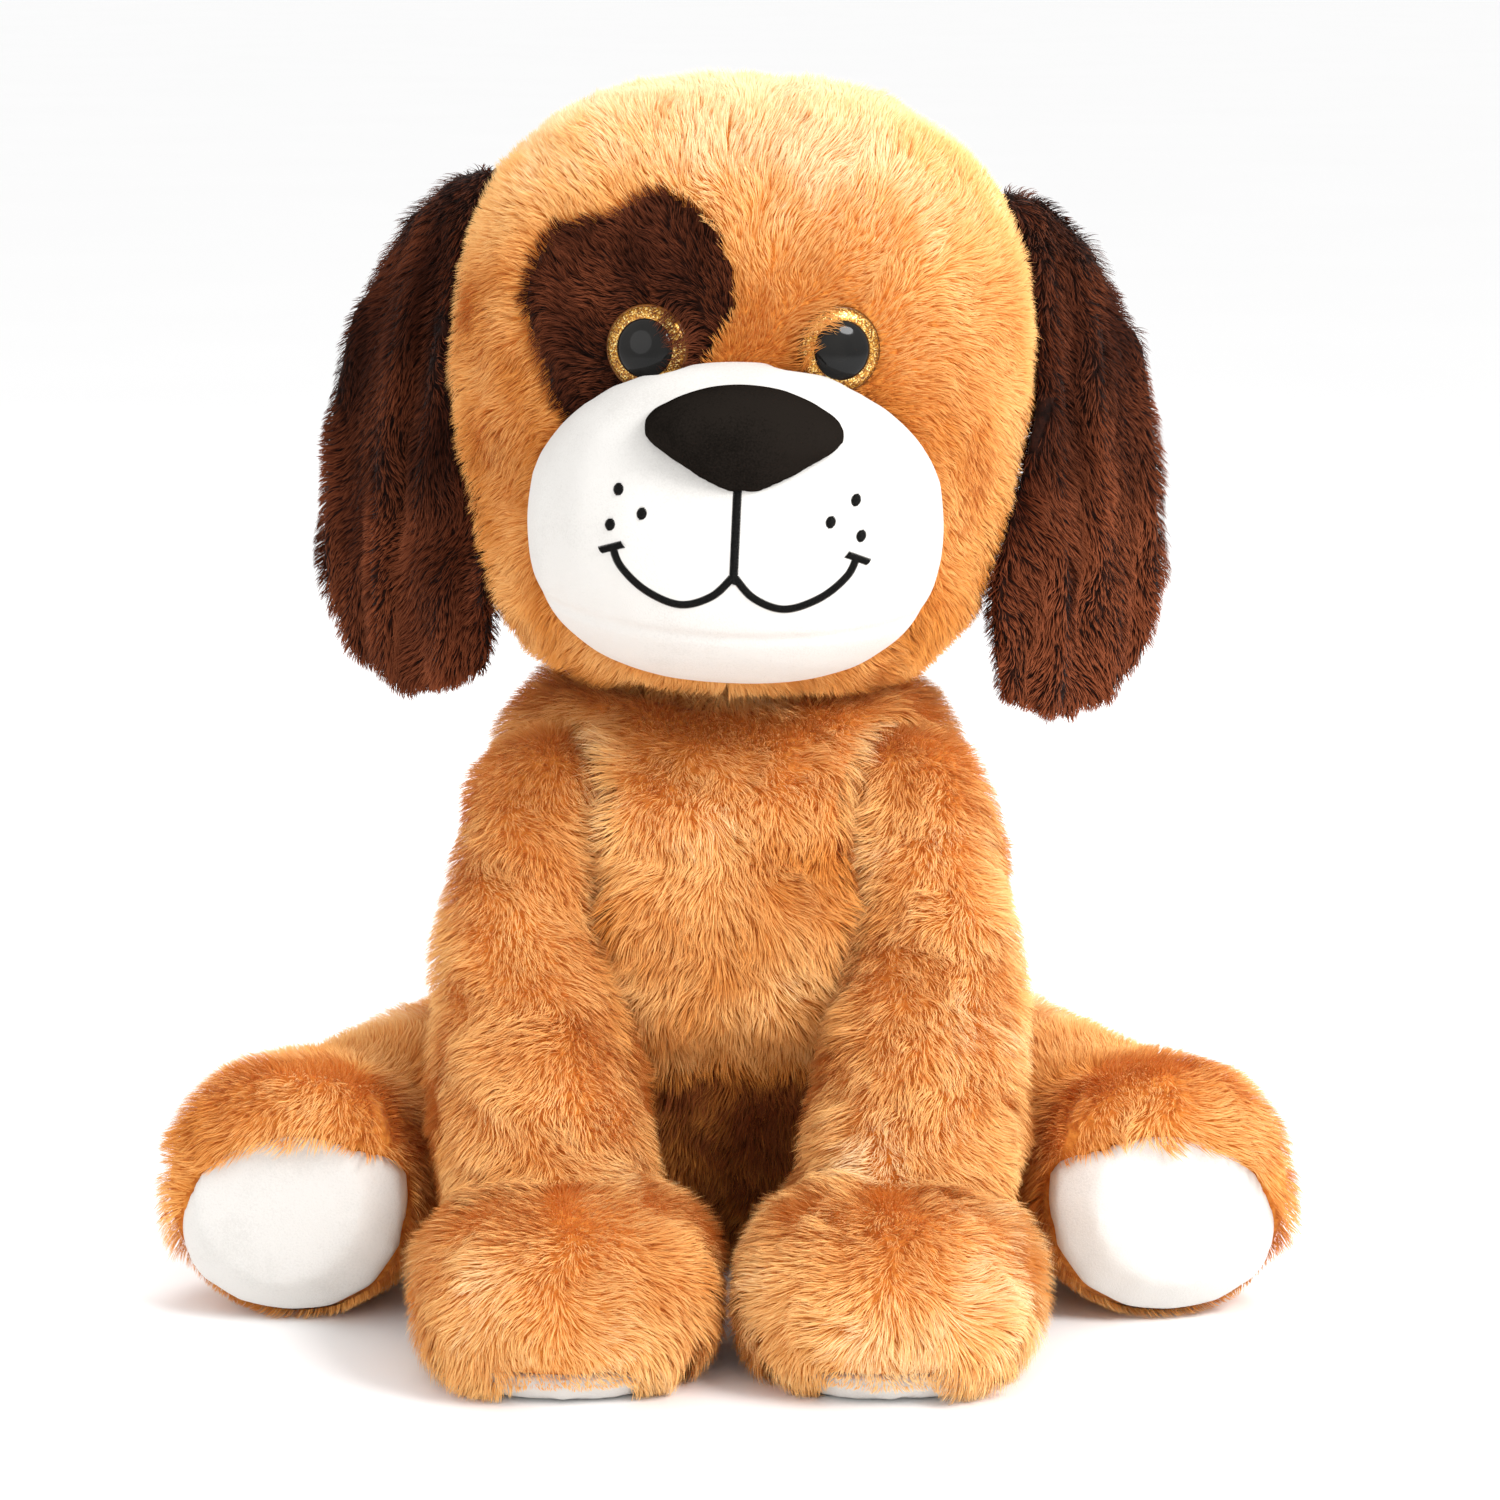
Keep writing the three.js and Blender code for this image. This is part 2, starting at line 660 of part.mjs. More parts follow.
function earLayer(outer) {
  const turn = THREE.MathUtils.degToRad(ear.turn);
  const across = new THREE.Vector3(Math.sin(turn), Math.cos(turn), 0);
  const outward = new THREE.Vector3(Math.cos(turn), -Math.sin(turn), 0).multiplyScalar(outer ? 1 : -1);
  const arcPoints = 8;
  const rings = earStops.map(([x, y, z, halfWidth, halfThick]) =>
    Array.from({ length: arcPoints }, (_, i) => {
      const a = (i / (arcPoints - 1)) * Math.PI;
      return new THREE.Vector3(x, y, z)
        .addScaledVector(across, halfWidth * Math.cos(a))
        .addScaledVector(outward, gap / 2 + halfThick * Math.sin(a));
    }),
  );
  const inside = (stop, dz, lean) => {
    const middle = new THREE.Vector3(stop[0] + lean, stop[1], stop[2] + dz);
    return middle.addScaledVector(outward, gap / 2 + stop[4] * 0.4);
  };
  return skin(rings, inside(earStops[0], 4, -1), inside(earStops.at(-1), -12, -2));
}

function makeEar(side) {
  const name = `ear_${side > 0 ? "left" : "right"}`;
  const place = side > 0 ? (solid) => turned(solid, alongY, ear.hingeAt, -ear.splay) : mirrored;
  const nearHead = headForm(-earRoom, 18, 10);
  const headRoom = [0.35, 0.7, 1]
    .map((share) => turned(nearHead, alongY, ear.hingeAt, earLift * share))
    .reduce((all, passed) => all.add(passed), headForm(-earRoom));
  add(`${name}_outer`, place(earLayer(true).subtract(headRoom)), materials.brown, headGroup);
  add(`${name}_lining`, place(earLayer(false).subtract(headRoom)), materials.brown, headGroup);
}

makeTorso();
makeNeck();
makeHead();
makeMouth();
[1, -1].forEach(makeEar);
[1, -1].forEach(makeFrontLeg);
[1, -1].forEach(makeHindLeg);
makeTail();
makeLabel();

export default root;
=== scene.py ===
"""The looks of a seated plush puppy: pile, cloth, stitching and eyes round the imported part.

Metres, with +Z up. The puppy faces -Y.
"""

import json
import math

import bmesh
import bpy
import numpy as np
from mathutils import Euler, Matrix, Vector, kdtree
from mathutils.bvhtree import BVHTree

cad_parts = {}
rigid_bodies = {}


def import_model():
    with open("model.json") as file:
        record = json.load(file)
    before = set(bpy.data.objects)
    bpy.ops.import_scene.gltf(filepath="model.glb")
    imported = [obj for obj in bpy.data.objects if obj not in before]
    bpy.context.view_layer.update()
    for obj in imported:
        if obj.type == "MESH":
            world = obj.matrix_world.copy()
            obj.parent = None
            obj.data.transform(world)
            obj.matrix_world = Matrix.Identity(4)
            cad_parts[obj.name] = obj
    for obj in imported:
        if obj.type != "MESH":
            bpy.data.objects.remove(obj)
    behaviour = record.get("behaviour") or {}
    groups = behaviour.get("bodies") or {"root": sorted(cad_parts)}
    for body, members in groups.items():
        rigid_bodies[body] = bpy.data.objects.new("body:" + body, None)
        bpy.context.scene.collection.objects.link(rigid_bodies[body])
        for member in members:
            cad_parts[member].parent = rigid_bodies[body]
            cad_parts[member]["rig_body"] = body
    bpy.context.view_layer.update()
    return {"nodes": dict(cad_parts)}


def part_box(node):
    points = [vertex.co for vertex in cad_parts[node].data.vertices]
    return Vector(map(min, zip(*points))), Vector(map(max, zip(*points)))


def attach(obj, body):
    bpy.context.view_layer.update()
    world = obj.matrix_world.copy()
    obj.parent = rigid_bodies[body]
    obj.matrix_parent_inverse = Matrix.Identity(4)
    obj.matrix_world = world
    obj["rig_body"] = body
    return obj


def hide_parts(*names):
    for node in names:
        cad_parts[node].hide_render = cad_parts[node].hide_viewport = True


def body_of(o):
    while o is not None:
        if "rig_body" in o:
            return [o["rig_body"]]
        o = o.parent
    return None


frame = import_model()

MM = 0.001
SEED = 20
SIDES = ((1, "left"), (-1, "right"))


def put_in_scene(name, data):
    made = bpy.data.objects.new(name, data)
    bpy.context.collection.objects.link(made)
    return made


# ---------------------------------------------------------------- camera and light

CAMERA_TARGET = Vector((0.0065, 0, 0.158))
CAMERA_DISTANCE = 1.4
CAMERA_ELEVATION = math.radians(11)
CAMERA_LENS = 107.35


def make_camera():
    camera = put_in_scene("camera", bpy.data.cameras.new("camera"))
    camera.data.lens = CAMERA_LENS
    camera.data.sensor_width = 36
    away = Vector((0, -math.cos(CAMERA_ELEVATION), math.sin(CAMERA_ELEVATION)))
    camera.location = CAMERA_TARGET + CAMERA_DISTANCE * away
    camera.rotation_euler = Euler((math.pi / 2 - CAMERA_ELEVATION, 0, 0))
    bpy.context.scene.camera = camera


def soft_box(name, place, aim, size, watts):
    """A round area lamp at place that looks at aim."""
    lamp = bpy.data.lights.new(name, "AREA")
    lamp.energy = watts
    lamp.shape = "DISK"
    lamp.size = size
    holder = put_in_scene(name, lamp)
    holder.location = place
    holder.rotation_euler = (Vector(aim) - Vector(place)).to_track_quat("-Z", "Y").to_euler()


def make_studio():
    world = bpy.data.worlds.new("studio")
    bpy.context.scene.world = world
    world.use_nodes = True
    background = world.node_tree.nodes["Background"]
    background.inputs["Color"].default_value = (1, 1, 1, 1)
    background.inputs["Strength"].default_value = 1.0
    soft_box("key", (0.9, -0.8, 1.0), (0, 0, 0.2), 0.6, 17)
    soft_box("fill", (-0.9, -1.0, 0.5), (0, 0, 0.2), 0.8, 2)
    soft_box("rim", (0.2, 0.9, 1.2), (0, 0, 0.25), 0.8, 10)
    bpy.context.scene.view_settings.view_transform = "Standard"


make_camera()
make_studio()

# ---------------------------------------------------------------- materials


class Shader:
    """A Principled material and short ways to add nodes to it."""

    def __init__(self, name, roughness=0.8, sheen=0.0, coat=0.0, specular=0.5):
        self.material = bpy.data.materials.new(name)
        self.material.use_nodes = True
        self.nodes = self.material.node_tree.nodes
        self.links = self.material.node_tree.links
        self.surface = self.nodes["Principled BSDF"]
        self.surface.inputs["Roughness"].default_value = roughness
        self.surface.inputs["Sheen Weight"].default_value = sheen
        self.surface.inputs["Sheen Roughness"].default_value = 0.4
        self.surface.inputs["Coat Weight"].default_value = coat
        self.surface.inputs["Coat Roughness"].default_value = 0.03
        self.surface.inputs["Specular IOR Level"].default_value = specular

    def node(self, kind, links=(), **settings):
        made = self.nodes.new(kind)
        for key, value in settings.items():
            if key in made.inputs:
                made.inputs[key].default_value = value
            else:
                setattr(made, key, value)
        for key, source in links:
            self.links.new(source, made.inputs[key])
        return made

    def noise(self, scale, detail=2.0, roughness=0.5, place=None):
        place = place or self.node("ShaderNodeTexCoord").outputs["Object"]
        settings = dict(Scale=scale, Detail=detail, Roughness=roughness)
        made = self.node("ShaderNodeTexNoise", [("Vector", place)], **settings)
        return made.outputs["Fac"]

    def ramp(self, factor, stops):
        made = self.node("ShaderNodeValToRGB", [("Fac", factor)])
        elements = made.color_ramp.elements
        while len(elements) < len(stops):
            elements.new(0.5)
        for element, (position, color) in zip(elements, stops):
            element.position = position
            element.color = (*color, 1)
        return made.outputs["Color"]

    def mix(self, factor, a, b):
        made = self.node("ShaderNodeMix", data_type="RGBA")
        for socket, value in ((made.inputs[0], factor), (made.inputs[6], a), (made.inputs[7], b)):
            if isinstance(value, (int, float)):
                socket.default_value = value
            elif isinstance(value, tuple):
                socket.default_value = (*value, 1)
            else:
                self.links.new(value, socket)
        return made.outputs[2]

    def color(self, source):
        self.links.new(source, self.surface.inputs["Base Color"])

    def bump(self, height, strength, distance):
        made = self.node("ShaderNodeBump", [("Height", height)], Strength=strength, Distance=distance)
        self.links.new(made.outputs["Normal"], self.surface.inputs["Normal"])


PALETTE_UV = "OFBake"  # u: how deep a strand's tint is, v: from its root to its tip


def pile_material(name, stages, specular):
    """Pile strands: each stage is a depth of tint and the colours at the root, middle and tip there."""
    # The darker root colours and the darkest stage paint shade into the strands.
    shader = Shader(name, roughness=0.7, sheen=0.03, specular=specular)
    palette = shader.node("ShaderNodeUVMap", uv_map=PALETTE_UV)
    split = shader.node("ShaderNodeSeparateXYZ", [("Vector", palette.outputs["UV"])])
    mixed, before = None, 0.0
    for depth, (root, middle, tip) in stages:
        color = shader.ramp(split.outputs["Y"], [(0.0, root), (0.45, middle), (1.0, tip)])
        if mixed is not None:
            share = shader.node("ShaderNodeMapRange", [("Value", split.outputs["X"])])
            share.inputs["From Min"].default_value = before
            share.inputs["From Max"].default_value = depth
            color = shader.mix(share.outputs["Result"], mixed, color)
        mixed, before = color, depth
    shader.color(mixed)
    return shader.material


def backing_material(name, pale, dark):
    """The dense foot of the pile, seen between the strands."""
    shader = Shader(name, roughness=0.95, sheen=0.1, specular=0.1)
    tufts = shader.noise(420, 3)
    shader.color(shader.ramp(tufts, [(0.35, dark), (0.7, pale)]))
    shader.bump(tufts, 0.8, 0.0015)
    return shader.material


def velboa_material(name, pale, dark, sheen=0.0):
    """Short upright pile: a fine grain with slow changes where a hand has brushed it."""
    shader = Shader(name, roughness=0.95, sheen=sheen, specular=0.0)
    grain = shader.noise(1500, 4, 0.7)
    brushed = shader.noise(38, 3)
    mixed = shader.node("ShaderNodeMath", [(0, grain), (1, brushed)], operation="ADD")
    shader.color(shader.ramp(mixed.outputs[0], [(0.7, dark), (1.15, pale)]))
    shader.bump(grain, 0.35, 0.0006)
    return shader.material


def thread_material():
    shader = Shader("black_thread", roughness=0.5, specular=0.08)
    strands = shader.noise(2600, 2)
    shader.color(shader.ramp(strands, [(0.35, (0.002, 0.002, 0.002)), (0.7, (0.012, 0.011, 0.010))]))
    shader.bump(strands, 0.5, 0.0003)
    return shader.material


def glitter_material():
    """Gold flakes under a clear lacquer."""
    shader = Shader("glitter_iris", roughness=0.32, coat=0.15)
    place = shader.node("ShaderNodeTexCoord").outputs["Object"]
    flakes = shader.node("ShaderNodeTexVoronoi", [("Vector", place)], Scale=2600)
    split = shader.node("ShaderNodeSeparateColor", [("Color", flakes.outputs["Color"])])
    golds = [
        (0.0, (0.10, 0.025, 0.002)),
        (0.4, (0.33, 0.12, 0.008)),
        (0.75, (0.62, 0.29, 0.025)),
        (0.97, (1.0, 0.78, 0.30)),
    ]
    shader.color(shader.ramp(split.outputs[0], golds))
    shader.surface.inputs["Metallic"].default_value = 0.55
    shader.bump(split.outputs[1], 0.5, 0.0004)
    return shader.material


def gloss_material(name, pale, dark):
    shader = Shader(name, roughness=0.07, specular=0.2)
    shader.color(shader.ramp(shader.noise(60, 2), [(0.3, dark), (0.7, pale)]))
    return shader.material


def fibre_material():
    shader = Shader("polyester_filling", roughness=0.9, sheen=0.4)
    fibres = shader.noise(240, 6, 0.75)
    shader.color(shader.ramp(fibres, [(0.3, (0.7, 0.7, 0.68)), (0.6, (0.93, 0.93, 0.91))]))
    shader.bump(fibres, 0.9, 0.002)
    return shader.material


def nylon_material():
    shader = Shader("nylon", roughness=0.45)
    shader.color(shader.ramp(shader.noise(300, 2), [(0.3, (0.72, 0.7, 0.64)), (0.7, (0.84, 0.82, 0.77))]))
    return shader.material


def ribbon_material():
    """A woven satin ribbon."""
    shader = Shader("label_ribbon", roughness=0.4, sheen=0.3)
    place = shader.node("ShaderNodeTexCoord").outputs["Object"]
    weave = shader.node("ShaderNodeTexWave", [("Vector", place)], Scale=900, Distortion=0.4)
    weave.bands_direction = "Z"
    shader.color(shader.ramp(weave.outputs["Fac"], [(0.2, (0.78, 0.78, 0.76)), (0.8, (0.95, 0.95, 0.94))]))
    shader.bump(weave.outputs["Fac"], 0.4, 0.0002)
    return shader.material


def floor_material():
    shader = Shader("floor", roughness=0.85, specular=0.2)
    shades = [(0.3, (0.965, 0.965, 0.965)), (0.7, (0.975, 0.975, 0.975))]
    shader.color(shader.ramp(shader.noise(3, 2), shades))
    return shader.material


# In every stage the roots are darker than the tips: painted shade deep in the pile. The last stage, near
# black, is painted shade for hollows and for places that nearby parts hide. The palest stage carries the
# painted light on the crown.
CARAMEL = (
    (0.0, ((0.97, 0.65, 0.30), (1.0, 0.74, 0.40), (1.0, 0.82, 0.54))),
    (0.25, ((0.88, 0.43, 0.11), (0.94, 0.51, 0.16), (0.98, 0.63, 0.27))),
    (0.7, ((0.58, 0.16, 0.021), (0.70, 0.235, 0.036), (0.80, 0.33, 0.068))),
    (1.0, ((0.05, 0.008, 0.003), (0.12, 0.024, 0.007), (0.22, 0.05, 0.015))),
)
# As in CARAMEL, the darker roots and the last, near-black stage are painted shade.
BROWN = (
    (0.0, ((0.060, 0.014, 0.006), (0.17, 0.042, 0.016), (0.32, 0.090, 0.036))),
    (0.7, ((0.010, 0.003, 0.0015), (0.036, 0.009, 0.004), (0.085, 0.021, 0.009))),
    (1.0, ((0.002, 0.001, 0.001), (0.008, 0.003, 0.002), (0.02, 0.006, 0.003))),
)

materials = {
    "caramel_pile": pile_material("caramel_pile", CARAMEL, 0.1),
    "brown_pile": pile_material("brown_pile", BROWN, 0.05),
    "caramel": backing_material("caramel_backing", (0.80, 0.32, 0.06), (0.55, 0.16, 0.025)),
    "brown": backing_material("brown_backing", (0.03, 0.009, 0.005), (0.008, 0.003, 0.002)),
    "white": velboa_material("white_velboa", (0.71, 0.69, 0.66), (0.64, 0.62, 0.59), 0.1),
    "black": velboa_material("black_velboa", (0.014, 0.011, 0.009), (0.006, 0.005, 0.004)),
    "thread": thread_material(),
    "glitter": glitter_material(),
    "pupil": gloss_material("black_pupil", (0.012, 0.011, 0.01), (0.004, 0.004, 0.004)),
    "rim": gloss_material("eye_rim", (0.20, 0.07, 0.012), (0.10, 0.03, 0.006)),
    "filling": fibre_material(),
    "nylon": nylon_material(),
    "label": ribbon_material(),
    "floor": floor_material(),
}

# ---------------------------------------------------------------- meshes


def new_object(name, vertices, faces, material):
    mesh = bpy.data.meshes.new(name)
    mesh.from_pydata([tuple(v) for v in vertices], [], [tuple(int(i) for i in f) for f in faces])
    mesh.update()
    mesh.materials.append(material)
    mesh.polygons.foreach_set("use_smooth", [True] * len(mesh.polygons))
    return put_in_scene(name, mesh)


def apply_modifiers(made):
    graph = bpy.context.evaluated_depsgraph_get()
    mesh = bpy.data.meshes.new_from_object(made.evaluated_get(graph))
    made.modifiers.clear()
    old = made.data
    made.data = mesh
    bpy.data.meshes.remove(old)
    mesh.name = made.name
    mesh.polygons.foreach_set("use_smooth", [True] * len(mesh.polygons))


def keep_largest_island(mesh):
    """Drops the small closed pockets that a remesh leaves inside."""
    editable = bmesh.new()
    editable.from_mesh(mesh)
    seen = set()
    islands = []
    for start in editable.verts:
        if start in seen:
            continue
        island = [start]
        seen.add(start)
        for vertex in island:
            for edge in vertex.link_edges:
                other = edge.other_vert(vertex)
                if other not in seen:
                    seen.add(other)
                    island.append(other)
        islands.append(island)
    islands.sort(key=len)
    for island in islands[:-1]:
        bmesh.ops.delete(editable, geom=island, context="VERTS")
    editable.to_mesh(mesh)
    editable.free()


def subdivide(made):
    made.modifiers.new("fine", "SUBSURF").levels = 1
    apply_modifiers(made)


def vectors_of(made, attribute):
    """One vector for each vertex, as rows."""
    vectors = np.empty(len(made.data.vertices) * 3)
    made.data.vertices.foreach_get(attribute, vectors)
    return vectors.reshape(-1, 3)


def places_of(made):
    return vectors_of(made, "co")


def normals_of(made):
    return vectors_of(made, "normal")


def put_places(made, points):
    made.data.vertices.foreach_set("co", points.ravel())
    made.data.update()


SWELLING_PRESSURE, SWELLING_STEPS = 4.0, 20


def stuffed(made, cap=2.5 * MM, slack=0.8 * MM):
    """Swells a closed skin by cloth simulation, as its filling does.

    No point moves further than cap.
    """
    start = places_of(made)
    put_places(made, start - normals_of(made) * slack)
    cloth = made.modifiers.new("cloth", "CLOTH")
    cloth.settings.use_pressure = True
    cloth.settings.uniform_pressure_force = SWELLING_PRESSURE
    cloth.settings.effector_weights.gravity = 0
    cloth.settings.quality = 6
    cloth.point_cache.frame_end = SWELLING_STEPS
    for step in range(1, SWELLING_STEPS + 1):
        bpy.context.scene.frame_set(step)
    apply_modifiers(made)
    bpy.context.scene.frame_set(1)
    swollen = places_of(made)
    move = swollen - start
    length = np.maximum(np.linalg.norm(move, axis=1, keepdims=True), 1e-9)
    swollen = start + move * np.minimum(1, cap / length)
    swollen[:, 2] = np.maximum(swollen[:, 2], 0)
    put_places(made, swollen)


def object_of(name, editable, material):
    """A new object from an edited mesh, in one material."""
    mesh = bpy.data.meshes.new(name)
    editable.to_mesh(mesh)
    editable.free()
    mesh.materials.clear()
    mesh.materials.append(material)
    return put_in_scene(name, mesh)


def skin_of(name, nodes, material, voxel=3.0 * MM, smoothing=14):
    """One closed skin round some CAD nodes, with their facets smoothed away."""
    editable = bmesh.new()
    for node in nodes:
        editable.from_mesh(frame["nodes"][node].data)
    made = object_of(name, editable, material)
    remesh = made.modifiers.new("remesh", "REMESH")
    remesh.mode = "VOXEL"
    remesh.voxel_size = voxel
    smooth = made.modifiers.new("smooth", "SMOOTH")
    smooth.factor = 0.5
    smooth.iterations = smoothing
    apply_modifiers(made)
    keep_largest_island(made.data)
    return made


class Surface:
    """The triangles of a mesh as arrays, with a tree to measure from."""

    def __init__(self, made):
        mesh = made.data
        mesh.calc_loop_triangles()
        self.points = places_of(made)
        self.normals = normals_of(made)
        self.triangles = np.empty(len(mesh.loop_triangles) * 3, dtype=np.int32)
        mesh.loop_triangles.foreach_get("vertices", self.triangles)
        self.triangles = self.triangles.reshape(-1, 3)
        self.tree = BVHTree.FromPolygons(self.points.tolist(), self.triangles.tolist())

    def scatter(self, per_mm2, random):
        """Points spread evenly over the surface, and the smooth normals there."""
        a, b, c = (self.points[self.triangles[:, k]] for k in range(3))
        areas = np.linalg.norm(np.cross(b - a, c - a), axis=1) / 2
        count = int(areas.sum() / MM**2 * per_mm2)
        ends = np.cumsum(areas)
        picks = (np.arange(count) + random.random(count)) * ends[-1] / count
        chosen = np.searchsorted(ends, picks).clip(0, len(ends) - 1)
        r1, r2 = np.sqrt(random.random(count)), random.random(count)
        weights = np.stack([1 - r1, r1 * (1 - r2), r1 * r2], axis=1)[:, :, None]
        corners = self.triangles[chosen]
        points = (self.points[corners] * weights).sum(1)
        return points, unit((self.normals[corners] * weights).sum(1))

    def height(self, points):
        """How far outside the surface each point lies: below 0 inside, infinite well outside its box."""
        room = 10 * MM
        near = (points > self.points.min(0) - room).all(1) & (points < self.points.max(0) + room).all(1)
        found = np.full(len(points), np.inf)
        for i in np.flatnonzero(near).tolist():
            point = Vector(points[i])
            nearest, normal, _, distance = self.tree.find_nearest(point)
            found[i] = math.copysign(distance, (point - nearest).dot(normal))
        return found


def unit(vectors):
    return vectors / np.maximum(np.linalg.norm(vectors, axis=1, keepdims=True), 1e-9)


def columns(x, y, z):
    """Rows of x, y and z, each given as an array or as one number for all rows."""
    return np.stack(np.broadcast_arrays(x, y, z), axis=1)


def ripple(points, size, seed):
    """A smooth pseudo-random value between about -1 and 1, which changes over a distance of size."""
    random = np.random.default_rng(seed)
    waves = random.normal(size=(7, 3)) / size
    phases = random.random(7) * 2 * math.pi
    return np.sin(points @ waves.T + phases).sum(1) / 2.6


def mottle(points, seed, strength=0.1, size=10 * MM):
    """Broad and fine changes of tint."""
    return strength * ripple(points, size, seed) + 0.05 * ripple(points, 4 * MM, seed + 1)


def surface_of_node(node):
    return Surface(frame["nodes"][node])


# Its result paints shade into the pile's tint, where nearby parts block the way out.
def openness(points, normals):
    """The share of ways outwards that nothing blocks nearby, at each point."""
    lift, reach = 5 * MM, 75 * MM
    tilts = [(0.0, 0.0), *[(0.95, k * math.pi / 3) for k in range(6)]]
    side = unit(np.cross(normals, np.array([0.31, 0.87, 0.38])))
    other = np.cross(normals, side)
    free = np.zeros(len(points))
    for lean, turn in tilts:
        ways = normals * math.cos(lean) + (side * math.cos(turn) + other * math.sin(turn)) * math.sin(lean)
        for i, (start, way) in enumerate(zip((points + normals * lift).tolist(), ways.tolist())):
            free[i] += occluders.ray_cast(start, way, reach)[0] is None
    return free / len(tilts)


def all_of_the_cad():
    points, triangles = [], []
    for node in frame["nodes"].values():
        node.data.calc_loop_triangles()
        base = len(points)
        points += [tuple(vertex.co) for vertex in node.data.vertices]
        triangles += [tuple(base + i for i in triangle.vertices) for triangle in node.data.loop_triangles]
    return BVHTree.FromPolygons(points, triangles)


occluders = all_of_the_cad()

# ---------------------------------------------------------------- pile

LEVELS = np.array([0.0, 0.36, 0.7, 1.0])  # places along a strand
TAPER = np.array([1.0, 0.95, 0.7])  # its width there, which ends in a point
TUFT_AREA = 7  # square millimetres of cloth to each tuft
CLUMP = 0.36  # how far a strand leans over to the leader of its tuft
FLOOR_CLEARANCE = 0.4 * MM


def combed(roots, normals, flow, random, seed):
    """The way each strand lies along the cloth, and the way across it."""
    along = flow(roots, normals)
    along = unit(along - normals * (along * normals).sum(1, keepdims=True))
    across = np.cross(normals, along)
    turn = 0.5 * ripple(roots, 9 * MM, seed + 1) + 0.35 * ripple(roots, 3.5 * MM, seed + 2)
    turn = (turn + random.normal(0, 0.2, len(roots)))[:, None]
    along = along * np.cos(turn) + across * np.sin(turn)
    return along, np.cross(normals, along)


def leaders_of(roots, per_mm2):
    """The strands that tufts gather round, and for each strand the leader of its tuft."""
    leaders = np.arange(0, len(roots), max(1, int(per_mm2 * TUFT_AREA)))
    tree = kdtree.KDTree(len(leaders))
    for place, leader in enumerate(leaders.tolist()):
        tree.insert(roots[leader].tolist(), place)
    tree.balance()
    return leaders, leaders[[tree.find(root)[1] for root in roots.tolist()]]


def ribbons(name, line, side, half, depth, material):
    """Tapered ribbons along the lines, as one object. Each is two quads and a pointed tip."""
    count, levels = len(line), len(TAPER)
    reach = side * half * TAPER[None, :, None]
    vertices = np.concatenate([line[:, :-1] - reach, line[:, :-1] + reach, line[:, -1:]], axis=1)
    per_strand = vertices.shape[1]
    first = (np.arange(count) * per_strand)[:, None, None]
    quads = np.array([[0, levels, levels + 1, 1], [1, levels + 1, levels + 2, 2]])[None] + first
    tips = np.array([[levels - 1, 2 * levels - 1, 2 * levels]])[None] + first
    heights = np.concatenate([LEVELS[:-1], LEVELS[:-1], LEVELS[-1:]])
    palette = np.stack([np.repeat(depth, per_strand), np.tile(0.02 + 0.96 * heights, count)], axis=1)

    mesh = bpy.data.meshes.new(name)
    mesh.vertices.add(count * per_strand)
    mesh.vertices.foreach_set("co", vertices.astype(np.float32).ravel())
    corners = np.concatenate([quads.ravel(), tips.ravel()]).astype(np.int32)
    mesh.loops.add(len(corners))
    mesh.loops.foreach_set("vertex_index", corners)
    sizes = np.repeat([4, 3], [2 * count, count])
    mesh.polygons.add(len(sizes))
    starts = np.concatenate([[0], np.cumsum(sizes)[:-1]]).astype(np.int32)
    mesh.polygons.foreach_set("loop_start", starts)
    mesh.update(calc_edges=True)
    mesh.polygons.foreach_set("use_smooth", [True] * len(sizes))
    layer = mesh.uv_layers.new(name=PALETTE_UV)
    layer.uv.foreach_set("vector", palette[corners].astype(np.float32).ravel())
    mesh.materials.append(material)
    return put_in_scene(name, mesh)


def grow_pile(
    name, surface, material, per_mm2, length, flow, tint, keep, seed,
    press=None, width=0.23, lean=(30, 68),
):
    """Strands of pile over a surface.

    flow, length, tint, keep and press are functions of the points and normals. press is how many degrees
    more the strands lie down there.
    """
    random = np.random.default_rng(SEED + seed)
    roots, normals = surface.scatter(per_mm2, random)
    kept = keep(roots, normals)
    roots, normals = roots[kept], normals[kept]
    count = len(roots)
    along, across = combed(roots, normals, flow, random, seed)
    reach = (length(roots, normals) * random.uniform(0.75, 1.1, count))[:, None] * MM
    pressed = press(roots, normals) if press else 0
    rise = lean[0] + pressed + 9 * ripple(roots, 6 * MM, seed + 3) + random.normal(0, 6, count)
    fall = lean[1] + pressed + 10 * ripple(roots, 6 * MM, seed + 4) + random.normal(0, 8, count)
    rise, fall = np.radians(rise)[:, None], np.radians(fall)[:, None]
    first = normals * np.cos(rise) + along * np.sin(rise)
    last = normals * np.cos(fall) + along * np.sin(fall)
    line = np.stack([roots + reach * (s * first + 0.5 * s * s * (last - first)) for s in LEVELS], axis=1)

    leaders, mine = leaders_of(roots, per_mm2)
    pull = (CLUMP * random.uniform(0.7, 1.0, count))[:, None, None] * (LEVELS**1.3)[None, :, None]
    line = line + pull * (line[mine] - line)
    line[:, :, 2] = np.maximum(line[:, :, 2], FLOOR_CLEARANCE)

    facing = unit(normals + 0.3 * across * random.normal(0, 1, count)[:, None])
    side = unit(np.cross(last, facing))[:, None, :]
    half = (0.5 * width * MM * random.uniform(0.75, 1.25, count))[:, None, None]
    # Painted shade: a strand's tint is deepened where nearby parts block the way out from its tuft's
    # leader.
    occlusion_shade = np.empty(count)
    occlusion_shade[leaders] = 1 - openness(roots[leaders], normals[leaders])
    depth = tint(roots, normals) + random.normal(0, 0.05, count) + 0.18 * occlusion_shade[mine]
    return ribbons(name, line, side, half, np.clip(depth, 0.02, 0.98), material)


# ---------------------------------------------------------------- head

